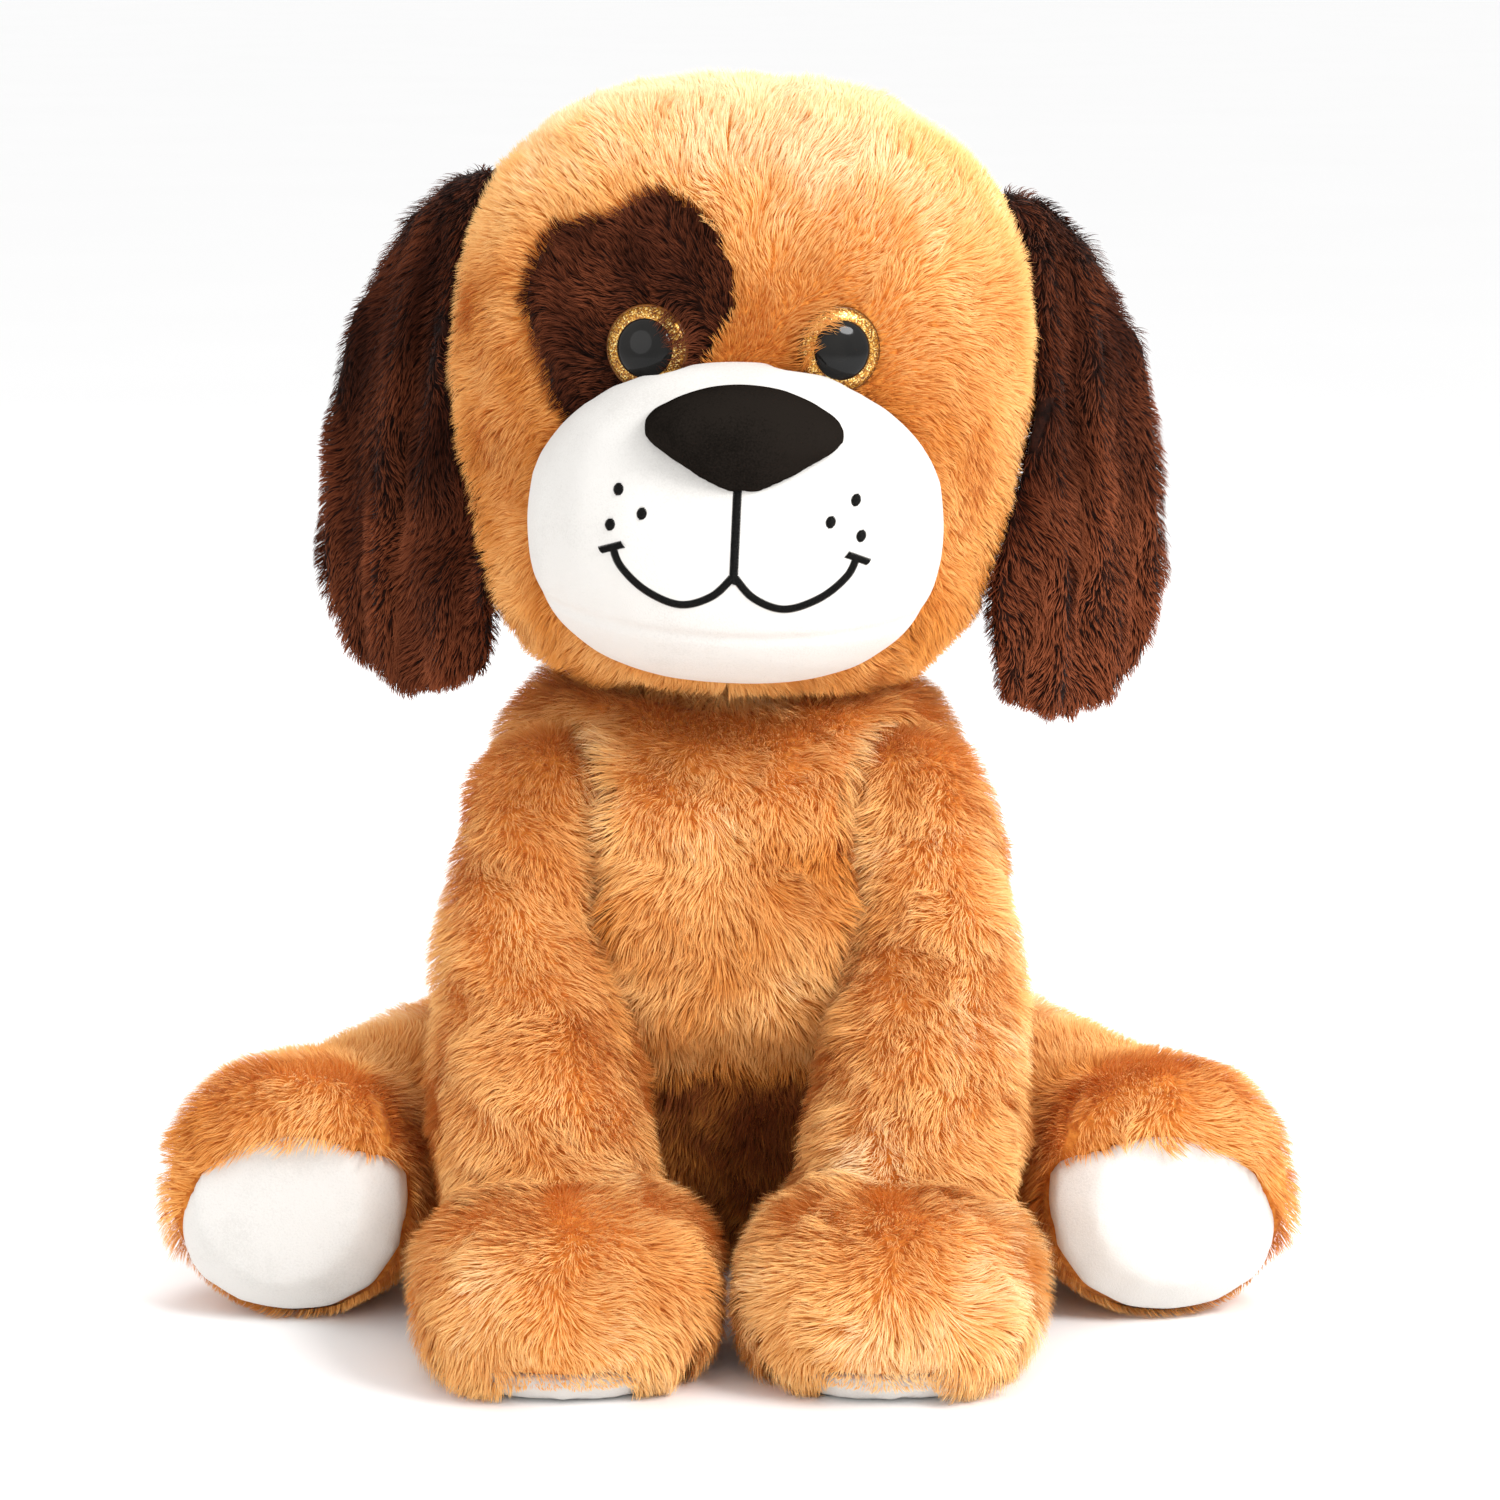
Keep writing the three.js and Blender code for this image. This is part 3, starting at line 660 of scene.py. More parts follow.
NECK = np.array([0, 4, 190]) * MM
HEAD_ROLL = math.radians(2.6)


def on_head(x, y, z):
    """A point given on the upright head, in millimetres, carried to the head as it leans."""
    dx, dz = x * MM - NECK[0], z * MM - NECK[2]
    return np.array([
        NECK[0] + dx * math.cos(HEAD_ROLL) + dz * math.sin(HEAD_ROLL),
        y * MM,
        NECK[2] - dx * math.sin(HEAD_ROLL) + dz * math.cos(HEAD_ROLL),
    ])


def upright(points):
    """The same points on the upright head, in millimetres."""
    d = points - NECK
    x = d[:, 0] * math.cos(HEAD_ROLL) - d[:, 2] * math.sin(HEAD_ROLL)
    z = d[:, 0] * math.sin(HEAD_ROLL) + d[:, 2] * math.cos(HEAD_ROLL)
    return columns(x, d[:, 1], z) / MM + NECK / MM


# Where the pile of the head lies towards, how long it is and how deep its tint is

BRIDGE = np.array([0, -64, 262])  # the pile of the face parts here, above the nose
EYE_REACH = 11.0  # no strand is rooted nearer to an eye's axis
WASHER_DEPTH = 6.9 * MM


def eye_frame(side):
    """The middle of an eye's foot and the way it looks, from the washer that holds it inside the head."""
    points = places_of(frame["nodes"][f"eye_{side}_washer"])
    middle = (points.min(0) + points.max(0)) / 2
    spread = np.linalg.svd(points - points.mean(0))[2]
    way = spread[2] if spread[2][1] < 0 else -spread[2]
    return middle + way * WASHER_DEPTH, way


EYES = {side: eye_frame(side) for side in ("left", "right")}


def from_eyes(points):
    """For each point, its way from the nearer eye's axis, and its distance from it in millimetres."""
    ways, gaps = [], []
    for middle, way in EYES.values():
        d = points - middle
        d = d - way * (d @ way)[:, None]
        ways.append(unit(d))
        gaps.append(np.where(points[:, 1] < 0, np.linalg.norm(d, axis=1) / MM, 1e3))
    nearer = (gaps[0] < gaps[1])[:, None]
    return np.where(nearer, ways[0], ways[1]), np.minimum(gaps[0], gaps[1])


def smooth_step(value, start, end):
    t = np.clip((value - start) / (end - start), 0, 1)
    return t * t * (3 - 2 * t)


def outside_eye(points, eye_way):
    """1 on the side of an eye away from the nose, and 0 on the side beside it."""
    return smooth_step(np.sign(points[:, 0]) * eye_way[:, 0], -0.55, -0.1)


def head_flow(points, normals):
    p = upright(points)
    away = unit(p - BRIDGE)
    down = smooth_step(p[:, 1], -15, 50)[:, None] * np.array([0, 0.2, -1.4])
    sideways = columns(0.35 * np.sign(p[:, 0]), 0, 0)
    chin = smooth_step(-p[:, 2], -225, -200)[:, None]
    eye_way, eye_gap = from_eyes(points)
    outside = outside_eye(points, eye_way)
    round_eye = smooth_step(-eye_gap, -17, -11) * outside * 0.8
    over_eye = smooth_step(-eye_gap, -20, -14) * (1 - outside) * 2.6
    cheek = smooth_step(np.abs(p[:, 0]), 38, 72) * smooth_step(-p[:, 2], -325, -285)
    hanging = cheek[:, None] * np.array([0, 0, -1.6])
    return away + down + hanging + chin * sideways + (round_eye - over_eye)[:, None] * eye_way


def head_length(points, normals):
    p = upright(points)
    length = 7.0 + 3.0 * smooth_step(-p[:, 2], -240, -200) + 0.8 * ripple(points, 12 * MM, 3)
    eye_way, eye_gap = from_eyes(points)
    outside = outside_eye(points, eye_way)
    short = 0.6 * outside * (1 - smooth_step(eye_gap, 11, 21))
    length *= 1.15 - short - 0.15 * smooth_step(eye_gap, 14, 20)
    length += 5.5 * (1 - smooth_step(eye_gap, 13, 19)) * (1 - outside)
    near_muzzle = np.linalg.norm((p - np.array([0, -64, 240])) / np.array([64, 60, 48]), axis=1)
    return length * (0.8 + 0.2 * smooth_step(near_muzzle, 1.0, 1.25))


def head_tint(points, normals):
    p = upright(points)
    # Painted light: the crown is painted paler, where light from above falls on it.
    lit_crown = smooth_step(p[:, 2], 300, 352)
    jaw = smooth_step(-p[:, 2], -262, -205) * smooth_step(np.abs(p[:, 0]), 30, 62)
    return 0.51 - 0.45 * lit_crown + 0.06 * jaw + mottle(points, 11, 0.09)


# ---------------------------------------------------------------- skins and their pile

PARTING_X = 46.5  # the pile of a front paw parts along this line
PAW_MIDDLE = (46.5, -126)
EAR_TURN = math.radians(50)  # how far an ear's face turns from looking sideways to looking forwards
FOOT_WHORL = (116, -66, 62)  # and the pile of a foot spreads from this point above its sole
CREASE_FOOT, CREASE_TOP = (24, 68), (56, 138)  # x and z of the crease between the chest and a front leg


def past_crease(p):
    """How far outside the crease beside the chest each point lies, in millimetres."""
    share = np.clip((p[:, 2] - CREASE_FOOT[1]) / (CREASE_TOP[1] - CREASE_FOOT[1]), 0, 1)
    return np.abs(p[:, 0]) - CREASE_FOOT[0] - share * (CREASE_TOP[0] - CREASE_FOOT[0])


def beside_legs(p):
    """1 on the chest next to the front legs, and 0 elsewhere."""
    front = smooth_step(-p[:, 1], 20, 45)
    return front * smooth_step(np.abs(p[:, 0]), 22, 38) * smooth_step(p[:, 2], 75, 100)


def torso_flow(points, normals):
    p = points / MM
    outwards = p[:, 0] / 260 + 0.6 * beside_legs(p) * np.sign(p[:, 0])
    return columns(outwards, np.where(p[:, 1] < 0, -0.15, 0.1), -1.0)


def torso_tint(points, normals):
    p = points / MM
    front = smooth_step(-p[:, 1], 0, 30)
    # Painted light: the throat is painted lighter, against the shade of the head above it.
    throat_light = front * smooth_step(p[:, 2], 140, 155)
    breast = front * smooth_step(p[:, 2], 98, 116) * smooth_step(-p[:, 2], -152, -140)
    # Painted shade: low between the front legs the pile is painted near black, as the hollow there lies in
    # shadow.
    hollow_shade = front * smooth_step(-p[:, 2], -82, -68)
    tint = 0.37 - 0.1 * throat_light + 0.12 * breast + 0.42 * hollow_shade
    return tint + mottle(points, 21, size=12 * MM)


def torso_length(points, normals):
    return 10 + 3 * beside_legs(points / MM) + 1.6 * ripple(points, 9 * MM, 23)


def torso_press(points, normals):
    return 14 * beside_legs(points / MM)


def front_leg_flow(points, normals):
    p = points / MM
    side = np.sign(p[:, 0])
    out = np.clip((np.abs(p[:, 0]) - PARTING_X) / 7, -1, 1) * side
    paw = smooth_step(-p[:, 2], -72, -40) * smooth_step(-p[:, 1], 70, 105)
    hem = smooth_step(-p[:, 2], -26, -12)
    inwards = -0.4 * side * smooth_step(-past_crease(p), 4, 12) * smooth_step(p[:, 2], 72, 95)
    down = columns(inwards, -0.25, -1.0)
    parted = columns(out * (1.0 - 0.8 * hem), -0.5, -0.45 - 1.2 * hem)
    return down + paw[:, None] * (parted - down)


def front_leg_hem(p):
    return smooth_step(-p[:, 2], -24, -11) * smooth_step(-p[:, 1], 95, 125)


def front_leg_length(points, normals):
    p = points / MM
    beside_pad = smooth_step(np.abs(np.abs(p[:, 0]) - PARTING_X + 2), 12, 26)
    return 9 + front_leg_hem(p) * (7 * beside_pad - 6) + 1.6 * ripple(points, 9 * MM, 33)


def front_leg_press(points, normals):
    return 16 * front_leg_hem(points / MM)


def front_leg_tint(points, normals):
    p = points / MM
    paw = smooth_step(-p[:, 2], -60, -30)
    high = smooth_step(p[:, 2], 72, 95) * smooth_step(-p[:, 1], 40, 55)
    # Painted shade: a dark line along the crease beside the chest.
    crease = high * np.exp(-((past_crease(p) / 4) ** 2))
    # Painted light: inside the crease the pile is painted lighter, against the painted occlusion shade
    # there.
    chest = high * smooth_step(-past_crease(p), 3, 9)
    # Painted light: the legs on the key lamp's side, x above 0, are painted lighter.
    tint = 0.38 - 0.06 * paw + 0.12 * crease - 0.08 * chest - 0.07 * (p[:, 0] > 0)
    return tint + mottle(points, 31)


def hind_leg_flow(points, normals):
    p = points / MM
    side = np.sign(p[:, 0])
    whorl = columns(side * FOOT_WHORL[0], *FOOT_WHORL[1:])
    away = unit(p - whorl)
    down = columns(side * 0.45, 0.1, -1.0)
    thigh = smooth_step(p[:, 1], -45, -15)[:, None]
    return away + thigh * (down - away)


def hind_leg_length(points, normals):
    """Shorter where the foot meets the floor below its sole."""
    p = points / MM
    low = smooth_step(-p[:, 2], -30, -12) * smooth_step(-p[:, 1], 25, 50)
    return 8 - 4.5 * low + 0.8 * ripple(points, 8 * MM, 43)


def hind_leg_tint(points, normals):
    # Painted light: the thighs are painted lighter, against the shade that falls on them.
    thigh = smooth_step(points[:, 1] / MM, -45, -15)
    return 0.42 - 0.28 * thigh + mottle(points, 41)


def ear_folds(points):
    """How far each point of an ear is pushed in or out by its upright folds, from about -1.5 to 1.5."""
    side = np.sign(points[:, 0])
    across = points[:, 0] * math.sin(EAR_TURN) + side * points[:, 1] * math.cos(EAR_TURN)
    s, z = across / MM, points[:, 2] / MM
    return np.sin(s / 3.4 + 0.9 * np.sin(z / 31) + side) + 0.5 * np.sin(s / 2.1 - z / 40)


def ear_flow(points, normals):
    return np.tile([0, 0.1, -1.0], (len(points), 1))


def ear_tint(points, normals):
    low = smooth_step(-points[:, 2] / MM, -290, -190)
    # Painted light: low down, the ear on the key lamp's side, x above 0, is painted lighter.
    low = low * np.where(points[:, 0] > 0, 1.6, 1.0)
    # Painted shade: fold valleys are painted darker and ridges lighter.
    return 0.62 - 0.48 * low - 0.1 * ear_folds(points) + 0.16 * ripple(points, 9 * MM, 51)


def tail_flow(points, normals):
    return np.tile([0, 0.35, 1.0], (len(points), 1))


def even(value, wave=0.1):
    """A length or a tint that only wavers about one value."""
    return lambda points, normals: value * (1 + wave * ripple(points, 8 * MM, 61))


def clear_of(surfaces, margin):
    """Roots that lie at least margin millimetres outside all the surfaces."""

    def keep(points, normals):
        kept = np.ones(len(points), dtype=bool)
        for surface in surfaces:
            left = np.flatnonzero(kept)
            kept[left] = surface.height(points[left]) > margin * MM
        return kept

    return keep


def both(*tests):
    return lambda points, normals: np.logical_and.reduce([test(points, normals) for test in tests])


PANEL_THICKNESS = 2.0 * MM


def panel_of(name, skin, material, planes, inside):
    """The part of a skin that inside() keeps, cut along planes and given a thickness inwards."""
    editable = bmesh.new()
    editable.from_mesh(skin.data)
    for place, normal in planes:
        everything = [*editable.verts, *editable.edges, *editable.faces]
        bmesh.ops.bisect_plane(editable, geom=everything, plane_co=place, plane_no=normal)
    centres = np.array([face.calc_center_median() for face in editable.faces])
    kept = inside(centres)
    dropped = [face for face, keep in zip(editable.faces, kept) if not keep]
    bmesh.ops.delete(editable, geom=dropped, context="FACES")
    made = object_of(name, editable, material)
    solid = made.modifiers.new("solid", "SOLIDIFY")
    solid.thickness = PANEL_THICKNESS
    solid.offset = -1
    apply_modifiers(made)
    return made


def settle(made, body, nodes):
    """Puts a finished piece on the body it rides on, and hides the CAD nodes that it stands for."""
    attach(made, body)
    if nodes:
        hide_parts(*nodes)


def pile(name, surface, body, kind="caramel", **settings):
    made = grow_pile(name, surface, materials[f"{kind}_pile"], **settings)
    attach(made, body)


# ---------------------------------------------------------------- the head and its face


def crease_muzzle(made):
    """The faint seam that runs across below the mouth."""
    points = places_of(made)
    p = upright(points)
    seam = 211 + 3.5 * (p[:, 0] / 45) ** 2
    front = smooth_step(-p[:, 1], 60, 85)
    depth = 0.6 * front * np.exp(-(((p[:, 2] - seam) / 1.5) ** 2))
    put_places(made, points - normals_of(made) * depth[:, None] * MM)


def raise_muzzle(made):
    """Fills out the top of the muzzle, between the eyes."""
    points = places_of(made)
    p = upright(points)
    share = smooth_step(p[:, 2], 258, 284) * smooth_step(-np.abs(p[:, 0]), -62, -2)
    points[:, 2] += 3.5 * share * MM
    put_places(made, points)


def arch_nose(made):
    """Sets the nose a little lower and arches its upper edge."""
    points = places_of(made)
    p = upright(points)
    middle = (p[:, 2].min() + p[:, 2].max()) / 2
    half = p[:, 0].max() - p[:, 0].mean()
    upper = smooth_step(p[:, 2], middle, p[:, 2].max() - 4)
    share = ((p[:, 0] - p[:, 0].mean()) / half) ** 2
    fall = 1 + 5 * share * (1 - share)
    points[:, 2] -= (0.8 + upper * fall) * MM
    put_places(made, points)


def is_patch(points):
    """Whether a point of the head's skin is in the brown patch round the right eye."""
    return np.abs(patch_surface.height(points)) < 1.5 * MM


head_skin = skin_of("head_skin", ["head_cover", "eye_patch", "head_stuffing"], materials["caramel"])
head_surface = Surface(head_skin)
patch_surface = surface_of_node("eye_patch")

muzzle = skin_of("muzzle", ["muzzle_cover", "muzzle_stuffing"], materials["white"], 2.6 * MM, 26)
stuffed(muzzle, slack=0)
subdivide(muzzle)
raise_muzzle(muzzle)
crease_muzzle(muzzle)
muzzle_surface = Surface(muzzle)
nose = skin_of("nose", ["nose_cover", "nose_stuffing"], materials["black"], 1.4 * MM, 22)
arch_nose(nose)
settle(muzzle, "head", ["muzzle_cover"])
settle(nose, "head", ["nose_cover"])

patch = panel_of("patch", head_skin, materials["brown"], [], is_patch)
settle(patch, "head", ["eye_patch"])
face = panel_of("head_cover_skin", head_skin, materials["caramel"], [], lambda points: ~is_patch(points))
settle(face, "head", ["head_cover"])
bpy.data.objects.remove(head_skin)


def clear_of_eyes(points, normals):
    return from_eyes(points)[1] > EYE_REACH


bare_head = both(clear_of([muzzle_surface], 0.6), clear_of_eyes)
head_pile = dict(flow=head_flow, length=head_length, tint=head_tint, per_mm2=2.0, lean=(22, 58))
for number in range(4):
    at_back, on_right = divmod(number, 2)

    def in_quarter(points, normals, at_back=at_back, on_right=on_right):
        return ((points[:, 1] >= 0) == at_back) & ((points[:, 0] < 0) == on_right) & ~is_patch(points)

    name = f"head_pile_{('face', 'back')[at_back]}_{('left', 'right')[on_right]}"
    here = both(in_quarter, bare_head)
    pile(name, head_surface, "head", keep=here, seed=100 + number, **head_pile)
here = both(lambda p, n: is_patch(p), bare_head)
patch_pile = dict(head_pile, length=lambda p, n: 0.9 * head_length(p, n), tint=even(0.5, 0.4))
pile("patch_pile", head_surface, "head", "brown", keep=here, seed=110, **patch_pile)


# Embroidery: satin stitches, each a short raised thread across the line

STITCH_PITCH = 0.42 * MM
STITCH_THICK = 0.5 * MM


def tube_faces(rings, around, base=0):
    """The faces of a closed tube, whose rings of vertices follow one another from base on."""
    faces = []
    for i in range(rings - 1):
        for k in range(around):
            a, b = base + i * around + k, base + i * around + (k + 1) % around
            faces.append((a, b, b + around, a + around))
    faces.append(tuple(base + k for k in reversed(range(around))))
    faces.append(tuple(base + (rings - 1) * around + k for k in range(around)))
    return faces


def stitches(name, rows):
    """Threads over the muzzle. Each row is the two ends of a thread: x, z in millimetres, head upright."""
    vertices, faces = [], []
    around, steps = 5, 7
    for row in rows:
        ends = [on_head(x, -200, z) for x, z in row]
        line, normals = [], []
        for i in range(steps):
            start = ends[0] + (ends[1] - ends[0]) * i / (steps - 1)
            hit, normal, _, _ = muzzle_surface.tree.ray_cast(start.tolist(), (0, 1, 0))
            lift = 0.55 * math.sin(math.pi * i / (steps - 1)) * MM
            line.append(np.array(hit) + np.array(normal) * (lift - 0.1 * MM))
            normals.append(np.array(normal))
        along = (line[-1] - line[0]) / np.linalg.norm(line[-1] - line[0])
        faces += tube_faces(steps, around, len(vertices))
        for i, (point, normal) in enumerate(zip(line, normals)):
            side = np.cross(along, normal)
            thin = 0.5 * STITCH_THICK * (0.7 + 0.3 * math.sin(math.pi * i / (steps - 1)))
            for k in range(around):
                turn = 2 * math.pi * k / around
                vertices.append(point + thin * (math.cos(turn) * side + math.sin(turn) * normal))
    return new_object(name, vertices, faces, materials["thread"])


def rows_along(path, width, slant):
    """Stitch rows across a polyline of (x, z) points, in millimetres."""
    path = np.array(path, dtype=float)
    lengths = np.linalg.norm(np.diff(path, axis=0), axis=1)
    ends = np.concatenate([[0], np.cumsum(lengths)])
    count = int(ends[-1] * MM / STITCH_PITCH)
    rows = []

    def place_at(s):
        return np.array([np.interp(s, ends, path[:, 0]), np.interp(s, ends, path[:, 1])])

    for s in (np.arange(count) + 0.5) * ends[-1] / count:
        middle, way = place_at(s), place_at(s + 0.5) - place_at(s - 0.5)
        way /= np.linalg.norm(way)
        across = np.array([-way[1], way[0]]) + slant * way
        across *= width / 2 / np.linalg.norm(across)
        rows.append((middle - across, middle + across))
    return rows


def smooth_path(points):
    """A polyline eight times as fine through the points, as a Catmull-Rom curve."""
    p = np.array([points[0], *points, points[-1]], dtype=float)
    fine = []
    for a, b, c, d in zip(p, p[1:], p[2:], p[3:]):
        for t in np.arange(8) / 8:
            square = (2 * a - 5 * b + 4 * c - d) * t**2
            cube = (3 * b - a - 3 * c + d) * t**3
            fine.append(0.5 * (2 * b + (c - a) * t + square + cube))
    return [*fine, p[-1]]


SMILE = [(0.3, 230), (6, 224), (15, 221), (25, 224.5), (32.5, 231), (35, 236.5)]
MOUTH_CORNER = [(32, 237.4), (35, 236.3), (38.6, 234.9)]
MOUTH_LINE = [(0, 256), (0, 242), (0, 228)]
FRECKLES = [(27, 246.5), (34, 252.7), (36, 242.5)]


def make_mouth():
    rows = rows_along(smooth_path(MOUTH_LINE), 2.7, 0.3)
    for side, _ in SIDES:
        for path, width in ((SMILE, 2.5), (MOUTH_CORNER, 2.4)):
            rows += rows_along(smooth_path([(side * x, z) for x, z in path]), width, 0.3 * side)
    settle(stitches("mouth_thread", rows), "head", ["mouth_stitching"])


def make_freckles():
    for side, label in SIDES:
        for number, (x, z) in enumerate(FRECKLES, start=1):
            rows = []
            for step in np.linspace(-0.85, 0.85, 9):
                half = 1.5 * math.sqrt(1 - step**2)
                rows.append(((side * x - half, z + 1.75 * step), (side * x + half, z + 1.75 * step + 0.3)))
            made = stitches(f"freckle_thread_{label}_{number}", rows)
            settle(made, "head", [f"freckle_{label}_{number}"])


# Eyes: a glitter ring with a dark rim round a domed pupil, all under lacquer

EYE_RADIUS, PUPIL_RADIUS = 12.8, 8.8  # millimetres


def lathe(name, profile, middle, way, material):
    """A closed solid turned about way: the profile is (radius, height) in millimetres."""
    turn = Vector(way).to_track_quat("Z", "Y")
    around = 64
    vertices = []
    for radius, height in profile:
        for k in range(around):
            angle = 2 * math.pi * k / around
            local = Vector((radius * math.cos(angle), radius * math.sin(angle), height)) * MM
            vertices.append(Vector(middle) + turn @ local)
    return new_object(name, vertices, tube_faces(len(profile), around), material)


def make_eye(side):
    middle, way = EYES[side]
    rim = [(EYE_RADIUS - 1.5, -1.5), (EYE_RADIUS - 0.1, -1.2), (EYE_RADIUS, 0.2), (EYE_RADIUS - 0.2, 0.7)]
    rim += [(EYE_RADIUS - 0.5, 0.9), (EYE_RADIUS - 0.8, 0.6)]
    iris = [(EYE_RADIUS - 0.6, -0.5), (EYE_RADIUS - 0.6, 0.8), (EYE_RADIUS - 1.6, 1.6)]
    iris += [(PUPIL_RADIUS, 2.2)]
    arc = [math.radians(a) for a in (90, 78, 64, 50, 36, 22, 10, 2)]
    pupil = [(PUPIL_RADIUS, 0.5), *[(PUPIL_RADIUS * math.sin(a), 2.0 + 2.9 * math.cos(a)) for a in arc]]
    settle(lathe(f"eye_rim_{side}", rim, middle, way, materials["rim"]), "head", [])
    ring = lathe(f"glitter_{side}", iris, middle, way, materials["glitter"])
    settle(ring, "head", [f"eye_{side}_iris"])
    dome = lathe(f"pupil_dome_{side}", pupil, middle, way, materials["pupil"])
    settle(dome, "head", [f"eye_{side}_pupil", f"eye_{side}_dome"])


# Ears: flat soft tongues whose cloth falls in long upright folds


def fold_ear(made, side):
    """Pushes an ear's cloth in and out in upright folds, which fade towards its seam on the head."""
    points = places_of(made)
    outward = np.array([side * math.cos(EAR_TURN), -math.sin(EAR_TURN), 0])
    fade = smooth_step(-points[:, 2] / MM, -325, -285)
    points += (1.8 * MM * ear_folds(points) * fade)[:, None] * outward
    put_places(made, points)


def make_ear(side, label):
    body = f"ear_{label}"
    for number, layer in enumerate(("outer", "lining")):
        node = f"{body}_{layer}"
        skin = skin_of(f"{node}_cloth", [node], materials["brown"], 2.4 * MM, 8)
        fold_ear(skin, side)
        settle(skin, body, [node])
        other = surface_of_node(f"{body}_{'lining' if layer == 'outer' else 'outer'}")
        pile(
            f"{node}_pile", Surface(skin), body, "brown", keep=clear_of([other], -0.6), per_mm2=1.4,
            length=even(5.5, 0.25), flow=ear_flow, tint=ear_tint, width=0.32, lean=(35, 68),
            seed=200 + number + 5 * side,
        )


make_mouth()
make_freckles()
for eye_side in EYES:
    make_eye(eye_side)
for side, label in SIDES:
    make_ear(side, label)

# ---------------------------------------------------------------- torso, neck, legs and tail


def tuck_under(made):
    """Rounds the lower edge of a front paw inwards, down to the floor."""
    points = places_of(made)
    low = np.clip(1 - points[:, 2] / (16 * MM), 0, 1)[:, None] ** 2
    middle = np.array([PAW_MIDDLE[0] * np.sign(points[:, 0].mean()), PAW_MIDDLE[1]]) * MM
    points[:, :2] += low * 0.13 * (middle - points[:, :2])
    put_places(made, points)


def make_pad(name, body, node, shape):
    """The bare white cloth under a paw or on a foot."""
    made = skin_of(name, [node], materials["white"], 1.8 * MM, 10)
    stuffed(made, cap=2 * MM)
    subdivide(made)
    if shape:
        shape(made)
    settle(made, body, [node])
    return Surface(made)


def make_limb(name, keep, pad=None, shape=None, **settings):
    """A stuffed skin with its pile. The pile grows round a bare pad, which has its own cloth.

    pad is the pad's node and the name of its piece.
    """
    nodes = [f"{name}_cover", f"{name}_stuffing"]
    skin = skin_of(f"{name}_skin", nodes, materials["caramel"])
    if shape:
        shape(skin)
    settle(skin, name, nodes[:1])
    surface = Surface(skin)
    if pad:
        pad_node, pad_name = pad
        whole = skin_of(f"{name}_whole", [*nodes, pad_node], materials["caramel"])
        if shape:
            shape(whole)
        surface = Surface(whole)
        bpy.data.objects.remove(whole)
        pad_surface = make_pad(pad_name, name, pad_node, shape)
        keep = both(clear_of([pad_surface], 0.8), keep)
    pile(f"{name}_pile", surface, name, keep=keep, **settings)


BELLY_HALF, BELLY_BACK = 47, 2  # the belly panel's edges, in millimetres
SEAT_HALF, SEAT_DEPTH, SEAT_MIDDLE = 44, 38, 24

torso_nodes = ["belly_panel", "back_panel_left", "back_panel_right", "seat_panel", "torso_stuffing"]
torso_skin = skin_of("torso_skin", torso_nodes, materials["caramel"])
torso_surface = Surface(torso_skin)


def in_seat(points):
    p = points / MM
    ring = (p[:, 0] / SEAT_HALF) ** 2 + ((p[:, 1] - SEAT_MIDDLE) / SEAT_DEPTH) ** 2
    return (ring < 1) & (p[:, 2] < 6)


def in_belly(points):
    p = points / MM
    return (np.abs(p[:, 0]) < BELLY_HALF) & (p[:, 1] < BELLY_BACK) & ~in_seat(points)


def in_back(side):
    return lambda points: (points[:, 0] * side > 0) & ~in_belly(points) & ~in_seat(points)


TORSO_PANELS = {
    "belly_panel": in_belly,
    "back_panel_left": in_back(1),
    "back_panel_right": in_back(-1),
    "seat_panel": in_seat,
}
torso_planes = [
    ((BELLY_HALF * MM, 0, 0), (1, 0, 0)),
    ((-BELLY_HALF * MM, 0, 0), (1, 0, 0)),
    ((0, BELLY_BACK * MM, 0), (0, 1, 0)),
    ((0, 0, 0), (1, 0, 0)),
]
leg_nodes = [f"{leg}_leg_{label}_cover" for leg in ("front", "hind") for _, label in SIDES]
leg_surfaces = [surface_of_node(node) for node in leg_nodes]
tail_surface = surface_of_node("tail_cover")
neck_surface = surface_of_node("neck_cover")
bare_torso = clear_of([*leg_surfaces, tail_surface, neck_surface], 0.3)
for number, (panel, inside) in enumerate(TORSO_PANELS.items()):
    cloth = panel_of(f"{panel}_cloth", torso_skin, materials["caramel"], torso_planes, inside)
    settle(cloth, "torso", [panel])
    here = both(lambda p, n, inside=inside: inside(p), bare_torso)
    pile(
        f"{panel}_pile", torso_surface, "torso", keep=here, per_mm2=1.8, length=torso_length,
        flow=torso_flow, tint=torso_tint, press=torso_press, lean=(28, 64), seed=300 + number,
    )
bpy.data.objects.remove(torso_skin)

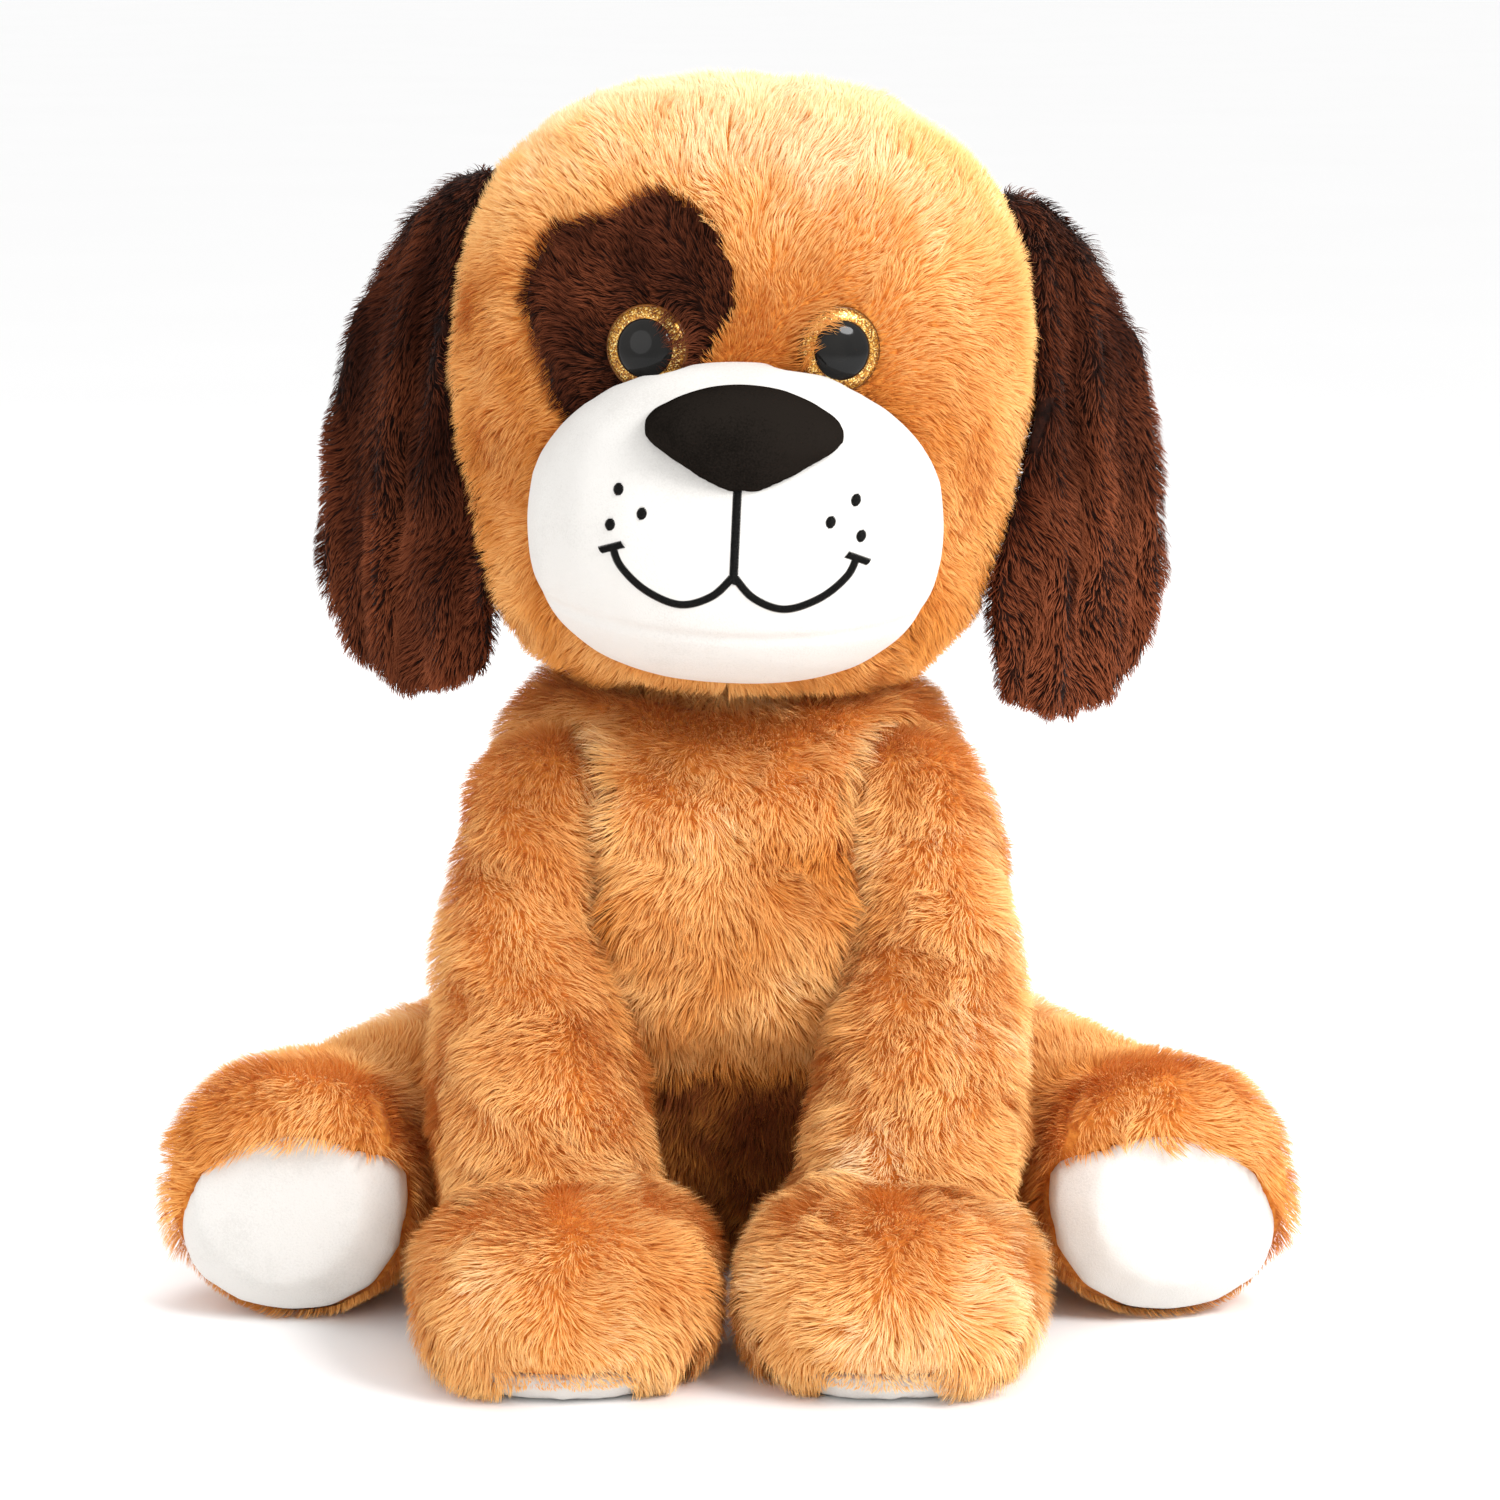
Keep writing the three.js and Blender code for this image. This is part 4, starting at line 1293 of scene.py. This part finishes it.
make_limb(
    "neck", flow=torso_flow, tint=torso_tint, length=even(10.5), per_mm2=1.1,
    keep=clear_of([torso_surface, head_surface], -1.0), seed=310,
)
off_torso = clear_of([torso_surface], 0.3)
for side, label in SIDES:
    leg = f"front_leg_{label}"
    make_limb(
        leg, pad=(f"{leg}_pad", f"paw_pad_{label}"), shape=tuck_under, flow=front_leg_flow,
        tint=front_leg_tint, length=front_leg_length, press=front_leg_press, per_mm2=1.9, lean=(28, 64),
        keep=off_torso, seed=320 + side,
    )
    leg = f"hind_leg_{label}"
    make_limb(
        leg, pad=(f"{leg}_sole", f"foot_sole_{label}"), flow=hind_leg_flow, tint=hind_leg_tint,
        length=hind_leg_length, per_mm2=1.8, lean=(28, 64), keep=off_torso, seed=330 + side,
    )
make_limb("tail", flow=tail_flow, tint=even(0.45), length=even(11), per_mm2=1.2, keep=off_torso, seed=340)

# ---------------------------------------------------------------- the label and the fillings


def make_label():
    """A blank ribbon that hangs from the seam beside the tail."""
    low, high = (np.array(corner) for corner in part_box("care_label"))
    width, length = 22 * MM, 34 * MM
    rows, columns = 18, 12
    vertices, faces = [], []
    for i in range(rows + 1):
        drop = i / rows
        for k in range(columns + 1):
            x = (low[0] + high[0]) / 2 + width * (k / columns - 0.5)
            curl = 0.6 * MM * math.sin(math.pi * k / columns) * drop
            y = low[1] + (high[1] - low[1]) * drop + curl
            vertices.append((x, y, high[2] - length * 0.97 * drop))
    for i in range(rows):
        for k in range(columns):
            a = i * (columns + 1) + k
            faces.append((a, a + 1, a + columns + 2, a + columns + 1))
    made = new_object("ribbon", vertices, faces, materials["label"])
    solid = made.modifiers.new("solid", "SOLIDIFY")
    solid.thickness = 0.35 * MM
    apply_modifiers(made)
    settle(made, "torso", ["care_label"])


def make_fillings():
    """Loose fibre inside each cover, drawn in a little so that no cover shows it."""
    for node in frame["nodes"]:
        if not node.endswith("_stuffing"):
            continue
        large = node.startswith(("torso", "head", "hind", "front"))
        voxel, inwards = (4 * MM, 3 * MM) if large else (2 * MM, 1 * MM)
        made = skin_of(node.replace("stuffing", "filling"), [node], materials["filling"], voxel, 6)
        put_places(made, places_of(made) - normals_of(made) * inwards)
        settle(made, body_of(frame["nodes"][node])[0], [node])


make_label()
make_fillings()

# ---------------------------------------------------------------- shanks and washers, and the floor

for name, node in frame["nodes"].items():
    if name.endswith(("shank", "washer")):
        node.data.materials.clear()
        node.data.materials.append(materials["nylon"])

FAR = 40
corners = [(-FAR, -FAR, 0), (FAR, -FAR, 0), (FAR, FAR, 0), (-FAR, FAR, 0)]
floor = new_object("floor", corners, [(0, 1, 2, 3)], materials["floor"])
